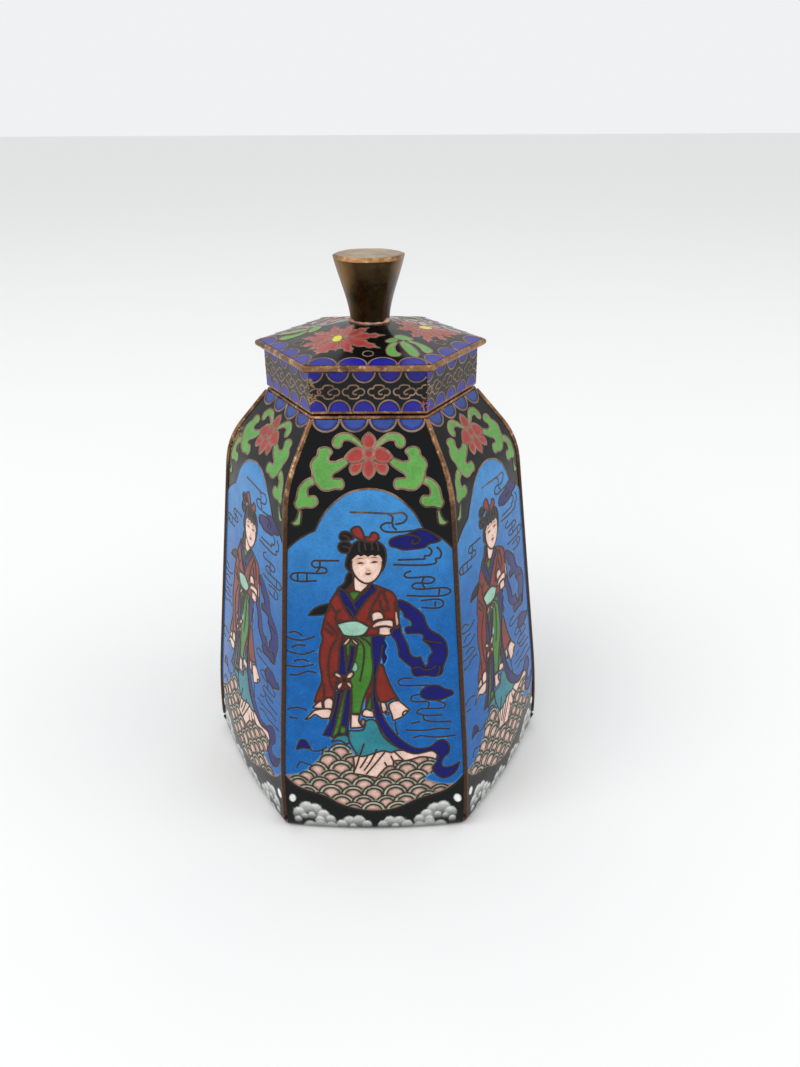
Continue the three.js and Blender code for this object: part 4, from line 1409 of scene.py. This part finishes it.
class JAR_OT_lid(bpy.types.Operator):
    """Makes the lid with its eave, enamelled roof and skirt"""

    bl_idname = "jar.lid"
    bl_label = "Lid"

    def execute(self, context):
        self.shell()
        self.roof()
        self.skirt()
        return {"FINISHED"}

    def shell(self):
        half_inside = SKIRT_HALF - SKIRT_WALL
        half_sunk = SKIRT_HALF - SHELL_SINK
        ceiling = [spot for spot in roof_outline(ROOF_WALL)[::-1] if spot[0] < half_inside]
        skirt = [
            (half_inside, EAVE_BOTTOM),
            (half_inside, SKIRT_BOTTOM + EASE),
            (half_inside + EASE, SKIRT_BOTTOM),
            (SKIRT_HALF - EASE, SKIRT_BOTTOM),
            (SKIRT_HALF, SKIRT_BOTTOM + EASE),
            (SKIRT_HALF, SKIRT_BOTTOM + SKIRT_ENAMEL_FOOT),
            (half_sunk, SKIRT_BOTTOM + SKIRT_ENAMEL_FOOT + 0.05),
            (half_sunk, EAVE_BOTTOM),
        ]
        middle, reach = (EAVE_BOTTOM + EAVE_TOP) / 2, EAVE_THICKNESS / 2
        eave = [(EAVE_HALF - reach * 0.8 * (1 - math.cos(angle)), middle + reach * math.sin(angle))
                for angle in np.linspace(-math.pi / 2, math.pi / 2, 9)]
        top = [spot for spot in roof_outline(SHELL_SINK) if spot[0] < EAVE_HALF - ROOF_COPPER]
        form = Rings()
        for line, slot, domed in ((ceiling, LINED, True), (skirt + eave, COPPER, False), (top, COPPER, True)):
            for half, height in line:
                soft = float(roof_softness(half)) if domed else 0.0
                form.add(hexagon_ring(float(half), float(height), soft=soft), slot)
        lining = bpy.data.materials["lining_enamel"]
        settle(form.piece("lid_shell", [strip_copper(), lining]), "lid")

    def roof(self):
        half = EAVE_HALF - ROOF_BORDER
        edge = np.array(hexagon_ring(half, 0, steps=40))[:, :2]
        sheet = Inlay(edge, on_roof, "black")
        row = EAVE_SCALLOPS
        for side in range(SIDES):
            for centre in row.centres():
                bump = row.outline(centre, -half, 0)
                sheet.cell("cobalt", plan_turn(bump, side * SIDE_ANGLE), wire=False)
        for third in range(3):
            turn = third * math.tau / 3
            for line in art_lines(ROOF_ART):
                glaze, text = line.split("|")
                sheet.cell(glaze, plan_turn(smooth(text, True), turn))
            for outline in flower_petals():
                sheet.cell("lotus", plan_turn(outline, turn))
            eye = arc(FLOWER_EYE, EYE_RADIUS, 0, math.tau, 1.55)[:-1]
            sheet.cell("lemon", plan_turn(eye, turn))
        for side in range(SIDES):
            ringlet = arc((0, -RINGLET_REACH), RINGLET_RADIUS, 0, math.tau)
            sheet.wire(plan_turn(ringlet, side * SIDE_ANGLE))
        points, faces, glazes, distance = sheet.sheet()
        materials, slots = glaze_materials(glazes, "lid_enamel", LID_GLOSS)
        settle(make_piece("lid_roof_enamel", points, faces, materials, slots, distance))
        wires = make_piece("lid_roof_wires", *sheet.wire_mesh(LID_WIRE_SHARE), [copper_wire()], sharp=50)
        settle(wires)
        outer, inner = roof_outline()[[0, 4]]
        slope = math.atan2(inner[1] - outer[1], outer[0] - inner[0])
        eave = repeated_wire("eave_scallop_wires", row.outline(0, 0, 0), copper_wire(), width=0.36,
                             thickness=0.24, pitch=row.pitch, copies=row.count, lean=slope,
                             outward=half, height=EAVE_TOP + 0.03)
        settle(eave)

    def skirt(self):
        side = SKIRT_HALF * math.tan(SIDE_ANGLE / 2) - 0.02
        low, high = SKIRT_ENAMEL_FOOT, SKIRT_RISE
        rows = level_row(low, high, side, 12)[:, ::-1]
        edge = np.concatenate([
            level_row(-side, side, low, 40)[:-1],
            rows[:-1],
            level_row(side, -side, high, 40)[:-1],
            (rows[::-1] * (-1, 1))[:-1],
        ])
        sheet = Inlay(edge, on_skirt, "black", 0.5)
        for centres, start, end, level in ((SKIRT_TOP_ROW, math.pi, math.tau, high),
                                           (SKIRT_LOW_ROW, math.pi, 0, low)):
            for centre in centres:
                bump = arc((centre, level), SKIRT_SCALLOP, start, end, 1.06)
                sheet.cell("cobalt", bump, wire=False)
                sheet.wire(bump)
        for centre in SKIRT_SCROLLS:
            for text, closed in ((SCROLL, True), (SCROLL_HOOK, False)):
                path = smooth(text, closed, step=EASE) + (centre, SCROLL_LEVEL)
                sheet.wire(np.concatenate([path, path[:1]]) if closed else path)
        points, faces, glazes, distance = sheet.sheet()
        materials, slots = glaze_materials(glazes, "lid_enamel", LID_GLOSS)
        band = make_piece("lid_skirt_enamel", *on_every_side(points, faces), materials, slots * SIDES,
                          np.tile(distance, SIDES))
        settle(band)
        whole = on_every_side(*sheet.wire_mesh(LID_WIRE_SHARE))
        settle(make_piece("lid_skirt_wires", *whole, [copper_wire()], sharp=50))


def plan_turn(points, angle):
    """Points of the roof's plan turned about its centre."""
    cos, sin = math.cos(angle), math.sin(angle)
    x, y = points.T
    return np.stack([x * cos - y * sin, x * sin + y * cos], -1)


# The petals of a roof flower, hindmost first: direction in degrees, length and width. Then half of a
# petal's outline, as shares of its length and its width.
PETALS = ((5, 8.8, 2.4), (33, 6.9, 2.3), (64, 6.6, 2.4), (98, 6.9, 2.4), (130, 7.4, 2.4), (152, 8.0, 2.4),
          (-175, 6.9, 2.5), (-148, 6.2, 2.2), (-28, 9.0, 2.5), (-90, 5.2, 2.0), (-63, 6.6, 2.4),
          (-119, 6.9, 4.0))
PETAL_SIDE = ((0.1, 0.14), (0.4, 0.48), (0.6, 0.52), (0.68, 0.3), (0.8, 0.36), (0.87, 0.14), (1.0, 0.0))


def flower_petals():
    """The outlines of a roof flower's petals, in the roof's plan."""
    for degrees, reach, width in PETALS:
        angle = math.radians(degrees)
        along = np.array([math.cos(angle), math.sin(angle)])
        side = np.array([-along[1], along[0]])
        left = [FLOWER_CENTRE + along * reach * a + side * width * b for a, b in PETAL_SIDE]
        right = [FLOWER_CENTRE + along * reach * a - side * width * b for a, b in PETAL_SIDE[-2::-1]]
        corners = [False] * (len(left) - 1) + [True] + [False] * len(right)
        yield smooth((np.array(left + right), corners), True)


# The knob is turned a little against the lid, and its section is softer than a hexagon.
KNOB_TURN = math.radians(7)
KNOB_SOFTNESS = 0.6
KNOB_EDGE = 0.3


def knob_ring(half, height):
    """One level of the knob."""
    return hexagon_ring(half, height, soft=KNOB_SOFTNESS, turn=KNOB_TURN, steps=12)


class JAR_OT_knob(bpy.types.Operator):
    """Makes the flared bronze knob and the solder round its foot"""

    bl_idname = "jar.knob"
    bl_label = "Knob"

    def execute(self, context):
        bronze = tuple(context.scene.jar_colours.bronze)
        # The dark bronze is painted lighter at a few spots, as lit facets and a highlight streak.
        dark = metal("dark_bronze", bronze, scaled(bronze, 2.6), scaled(bronze, 0.5), 0.28, 0.4,
                     painted_lights=KNOB_PAINTED_LIGHTS)
        worn = metal("worn_bronze", paint(186, 138, 90), paint(232, 196, 146), paint(128, 88, 52), 0.34, 0.9)
        top_look = metal("knob_top_bronze", paint(176, 160, 136), paint(196, 180, 156),
                         paint(150, 132, 110), 0.55, 0.3, metallic=0.55)
        base, top = settings().knob_base / MM / 2, settings().knob_top / MM / 2
        rise = KNOB_TOP - KNOB_BOTTOM - KNOB_EDGE
        form = Rings()
        knots = (base, base + (top - base) * 0.1, base + (top - base) * 0.7, top)
        for share in np.linspace(0, 1, 26):
            rest = 1 - share
            weights = (rest ** 3, 3 * share * rest ** 2, 3 * share ** 2 * rest, share ** 3)
            half = sum(weight * knot for weight, knot in zip(weights, knots))
            form.add(knob_ring(half, KNOB_BOTTOM + rise * share), 1 if share > 0.95 else 0)
        for angle in np.linspace(0, math.pi / 2, 5)[1:]:
            half = top - KNOB_EDGE * (1 - math.cos(angle))
            form.add(knob_ring(half, KNOB_BOTTOM + rise + KNOB_EDGE * math.sin(angle)), 1)
        for half in (top - 0.55, top * 0.5):
            form.add(knob_ring(half, KNOB_TOP), 2)
        settle(form.piece("bronze_knob", [dark, worn, top_look], 32), "knob")
        self.solder(base)
        return {"FINISHED"}

    def solder(self, base):
        noise = np.random.default_rng(7)
        spots = np.arange(12 * SIDES) / (12 * SIDES) * math.tau
        lumps = np.zeros(len(spots))
        for wave in range(2, 12):
            phase, size = noise.uniform(0, math.tau), noise.uniform(0.02, 0.09)
            lumps += size * np.sin(spots * wave + phase)
        rings = []
        for angle in np.linspace(0, math.tau, 11)[:-1]:
            ring = np.array(knob_ring(base - 0.05, ROOF_TOP + 0.1))
            outward = ring[:, :2] / np.linalg.norm(ring[:, :2], axis=1)[:, None]
            ring[:, :2] += outward * ((0.42 + lumps) * math.cos(angle))[:, None]
            ring[:, 2] += (0.45 + lumps) * math.sin(angle)
            rings.append([tuple(point) for point in ring])
        points, faces, _ = loft(rings, closed=True)
        look = metal("solder", paint(186, 150, 128), paint(232, 214, 196), paint(140, 100, 80), 0.4)
        settle(make_piece("knob_solder", points, faces, [look], sharp=180))


# The studio: half the floor's width in millimetres, the colour and strength of the sky light, and each
# lamp's name, place and size in metres, and power in watts.
FLOOR_REACH = 9000
STUDIO_TONE, STUDIO_STRENGTH = (0.93, 0.94, 0.95, 1), 0.94
LAMPS = (("key", (-0.5, -0.35, 0.8), 0.6, 3.0), ("fill", (0.7, -0.2, 0.6), 0.7, 1.5))
LAMP_AIM = Vector((0, 0, 0.05))


class JAR_OT_stage(bpy.types.Operator):
    """Makes the floor, the lights and the camera"""

    bl_idname = "jar.stage"
    bl_label = "Stage"

    def execute(self, context):
        scene = context.scene
        corners = [(x * FLOOR_REACH, y * FLOOR_REACH, 0) for x, y in ((-1, -1), (1, -1), (1, 1), (-1, 1))]
        floor = make_piece("floor", corners, [(0, 1, 2, 3)], [])
        recipe = Recipe("pale_floor")
        tone = tuple(scene.jar_colours.floor)
        speckle = recipe.noise(recipe.place(), 40.0, 2.0)
        colour = recipe.blend(speckle, scaled(tone, 0.985), tone)
        floor.data.materials.append(recipe.finish(Base_Color=colour, Roughness=0.8))
        world = bpy.data.worlds.new("studio")
        world.use_nodes = True
        sky = world.node_tree.nodes["Background"].inputs
        sky["Color"].default_value = STUDIO_TONE
        sky["Strength"].default_value = STUDIO_STRENGTH
        scene.world = world
        scene.view_settings.view_transform = "Standard"
        for name, place, size, power in LAMPS:
            light = bpy.data.lights.new(name, "AREA")
            light.shape = "SQUARE"
            light.size = size
            light.energy = power
            lamp = bpy.data.objects.new(name, light)
            lamp.location = place
            lamp.rotation_euler = (LAMP_AIM - Vector(place)).to_track_quat("-Z", "Y").to_euler()
            scene.collection.objects.link(lamp)
        self.camera(scene)
        return {"FINISHED"}

    def camera(self, scene):
        lens = bpy.data.cameras.new("camera")
        lens.lens = LENS
        lens.sensor_width = 36
        lens.clip_start = 0.01
        camera = bpy.data.objects.new("camera", lens)
        down, yaw, roll = (math.radians(value) for value in CAMERA_AXES)
        level = math.cos(down)
        forward = Vector((math.sin(yaw) * level, math.cos(yaw) * level, -math.sin(down)))
        right = Vector((math.cos(yaw), -math.sin(yaw), 0))
        up = right.cross(forward)
        x = right * math.cos(roll) + up * math.sin(roll)
        y = up * math.cos(roll) - right * math.sin(roll)
        turn = Matrix((x, y, -forward)).transposed().to_4x4()
        camera.matrix_world = Matrix.Translation(CAMERA_PLACE) @ turn
        scene.collection.objects.link(camera)
        scene.camera = camera


class JAR_PT_panel(bpy.types.Panel):
    """Lists the sizes, the colours and the steps that build the jar"""

    bl_idname = "JAR_PT_panel"
    bl_label = "Cloisonne Jar"
    bl_space_type = "VIEW_3D"
    bl_region_type = "UI"
    bl_category = "Jar"

    def draw(self, context):
        for group in (context.scene.jar_sizes, context.scene.jar_colours):
            for name in group.bl_rna.properties.keys():
                if name not in ("name", "rna_type"):
                    self.layout.prop(group, name)
        for operator in OPERATORS:
            self.layout.operator(operator.bl_idname)


OPERATORS = (JAR_OT_shell, JAR_OT_panels, JAR_OT_strips, JAR_OT_lid, JAR_OT_knob, JAR_OT_stage)
CLASSES = (JarSizes, JarColours, *OPERATORS, JAR_PT_panel)


def register():
    for item in CLASSES:
        bpy.utils.register_class(item)
    bpy.types.Scene.jar_sizes = bpy.props.PointerProperty(type=JarSizes)
    bpy.types.Scene.jar_colours = bpy.props.PointerProperty(type=JarColours)


def unregister():
    del bpy.types.Scene.jar_colours
    del bpy.types.Scene.jar_sizes
    for item in reversed(CLASSES):
        bpy.utils.unregister_class(item)


def main():
    """Builds the jar."""
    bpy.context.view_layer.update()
    register()
    for operator in OPERATORS:
        group, name = operator.bl_idname.split(".")
        getattr(getattr(bpy.ops, group), name)()


if __name__ == "__main__":
    main()
